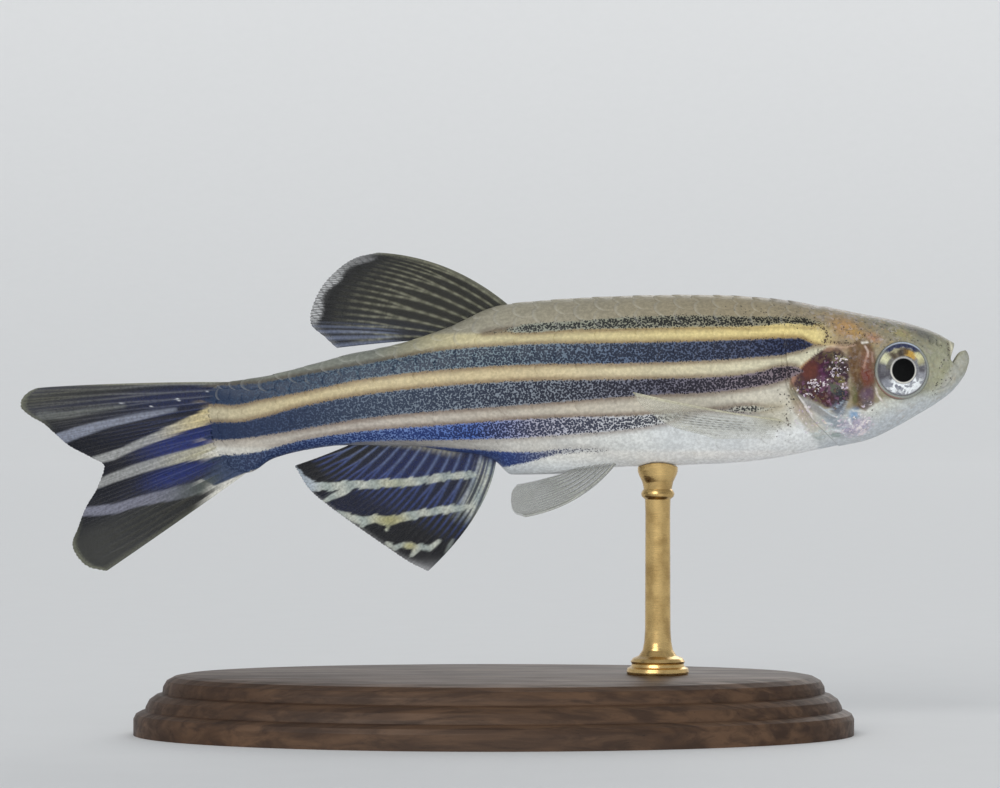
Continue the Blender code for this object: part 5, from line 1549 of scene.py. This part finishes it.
def plinth(material):
    """An oval plinth with a moulded edge."""
    table = np.array(PLINTH_PROFILE)
    inset, height = resample(table, 70)
    angle = 2 * math.pi * np.arange(PLINTH_COLUMNS) / PLINTH_COLUMNS
    i, a = np.meshgrid(inset, angle, indexing="ij")
    h = np.broadcast_to(height[:, None], i.shape)
    points = np.stack([(BASE_LENGTH / 2 - i) * np.cos(a), (BASE_WIDTH / 2 - i) * np.sin(a), h], -1)
    rows = len(inset)
    points = points.reshape(-1, 3)
    count = len(points)
    points = np.concatenate([points, [(0, 0, 0), (0, 0, BASE_HEIGHT)]]) * MM
    k = np.arange(PLINTH_COLUMNS)
    n = (k + 1) % PLINTH_COLUMNS
    bottom = np.stack([n, k, np.full(PLINTH_COLUMNS, count)], -1)
    top = np.stack([k, n, np.full(PLINTH_COLUMNS, count + 1)], -1)
    top[:, :2] += (rows - 1) * PLINTH_COLUMNS
    made = world_mesh("plinth", points, [grid_faces(rows, PLINTH_COLUMNS, closed=True), bottom, top])
    made.data.set_sharp_from_angle(angle=math.radians(35))
    return finish_piece(made, material, "stand_wood", "stand_base")


def resample(table, count):
    length = np.concatenate([[0], np.cumsum(np.hypot(*np.diff(table, axis=0).T))])
    at = np.unique(np.concatenate([np.linspace(0, length[-1], count), length]))
    return np.interp(at, length, table[:, 0]), np.interp(at, length, table[:, 1])


def rod(material):
    """A turned rod with a foot on the plinth and a cup that fits the belly."""
    belly = float(station(BELLY_Z, ROD_X)) + AXIS_HEIGHT
    cup = belly - 0.12
    table = np.array((
        (0.0, 2.98), (1.52, 2.98), (1.56, 3.12), (1.52, 3.30), (1.34, 3.38), (1.30, 3.52), (1.36, 3.64), (1.24, 3.80),
        (0.95, 3.92), (0.76, 4.20), (0.68, 4.60), (0.64, 5.20), (0.62, cup - 2.2), (0.64, cup - 1.5), (0.80, cup - 1.36),
        (0.84, cup - 1.22), (0.78, cup - 1.08), (0.70, cup - 0.98), (0.78, cup - 0.62), (0.92, cup - 0.34),
        (1.00, cup - 0.12), (1.00, cup + 0.10), (0.94, cup + 0.16),
    ))
    radius, height = resample(table, 120)
    angle = 2 * math.pi * np.arange(ROD_COLUMNS) / ROD_COLUMNS
    r, a = np.meshgrid(radius[1:], angle, indexing="ij")
    h = np.broadcast_to(height[1:, None], r.shape)
    points = np.stack([ROD_X + r * np.cos(a), r * np.sin(a), h], -1)
    # The cup's rim follows the belly's curve across.
    rise = 0.20 * (points[..., 1] / 1.0) ** 2 * smooth_step(cup - 0.5, cup, h)
    points[..., 2] += rise
    rows = len(radius) - 1
    points = points.reshape(-1, 3)
    count = len(points)
    points = np.concatenate([points, [(ROD_X, 0, 2.98), (ROD_X, 0, cup + 0.05)]]) * MM
    k = np.arange(ROD_COLUMNS)
    n = (k + 1) % ROD_COLUMNS
    bottom = np.stack([n, k, np.full(ROD_COLUMNS, count)], -1)
    top = np.stack([k, n, np.full(ROD_COLUMNS, count + 1)], -1)
    top[:, :2] += (rows - 1) * ROD_COLUMNS
    made = world_mesh("rod", points, [grid_faces(rows, ROD_COLUMNS, closed=True), bottom, top])
    made.data.set_sharp_from_angle(angle=math.radians(35))
    return finish_piece(made, material, "stand_brass", "stand_rod")


def studio():
    """Pale floor that curves up all round, soft lights, and the camera."""
    profile = [(0.0, 0.0), (FLOOR_RADIUS - 0.01, 0.0), (FLOOR_RADIUS, 0.0)]
    for k in range(1, 25):
        bend = math.radians(80) * k / 24
        profile.append((FLOOR_RADIUS + BEND_RADIUS * math.sin(bend), BEND_RADIUS * (1 - math.cos(bend))))
    columns = 96
    angle = 2 * math.pi * np.arange(columns) / columns
    points = [(r * math.cos(a), r * math.sin(a), z) for r, z in profile[1:] for a in angle]
    points.append((0, 0, 0))
    k = np.arange(columns)
    middle = np.stack([k, (k + 1) % columns, np.full(columns, len(points) - 1)], -1)
    bend = grid_faces(len(profile) - 1, columns, closed=True, flip=True)
    floor = world_mesh("studio_floor", np.array(points), [bend, middle], closed=False)
    s = Shader("studio_paper")
    s.set(Base_Color=s.mix(s.noise(3.0, 3.0), (0.74, 0.75, 0.76), (0.76, 0.77, 0.78)), Roughness=0.9)
    s.set(Specular_IOR_Level=0.1)
    floor.data.materials.append(s.material)
    floor.visible_shadow = False

    world = bpy.data.worlds.new("studio")
    world.use_nodes = True
    background = world.node_tree.nodes["Background"]
    background.inputs["Color"].default_value = (0.94, 0.97, 1.0, 1)
    background.inputs["Strength"].default_value = WORLD_STRENGTH
    bpy.context.scene.world = world
    for name, (strength, width, origin) in LIGHTS.items():
        data = bpy.data.lights.new(name, "SUN")
        data.energy = strength
        data.angle = math.radians(width)
        data.color = (1.0, 0.985, 0.96)
        light = bpy.data.objects.new(name, data)
        light.rotation_euler = (-Vector(origin)).to_track_quat("-Z", "Y").to_euler()
        bpy.context.scene.collection.objects.link(light)

    camera = bpy.data.cameras.new("camera")
    camera.lens = CAMERA_LENS
    camera.sensor_width = CAMERA_SENSOR
    camera.clip_start = 0.01
    view = bpy.data.objects.new("camera", camera)
    view.location = Vector((CAMERA_X, -CAMERA_DISTANCE, CAMERA_Z)) * MM
    view.rotation_euler = (math.pi / 2, 0, 0)
    bpy.context.scene.collection.objects.link(view)
    bpy.context.scene.camera = view
    bpy.context.scene.view_settings.view_transform = "Standard"


def main():
    random = np.random.default_rng(SEED)
    coat = skin_material()
    finish_piece(skin(), coat, "body_skin", "head", "trunk", "tail")
    for name in SIDES:
        finish_piece(scales(name, random), coat, "body_skin")
    fins(fin_material())
    gloss = eye_material()
    for name, side in SIDES.items():
        eye(name, side, gloss, random)
    plinth(wood_material())
    rod(brass_material())
    studio()


main()
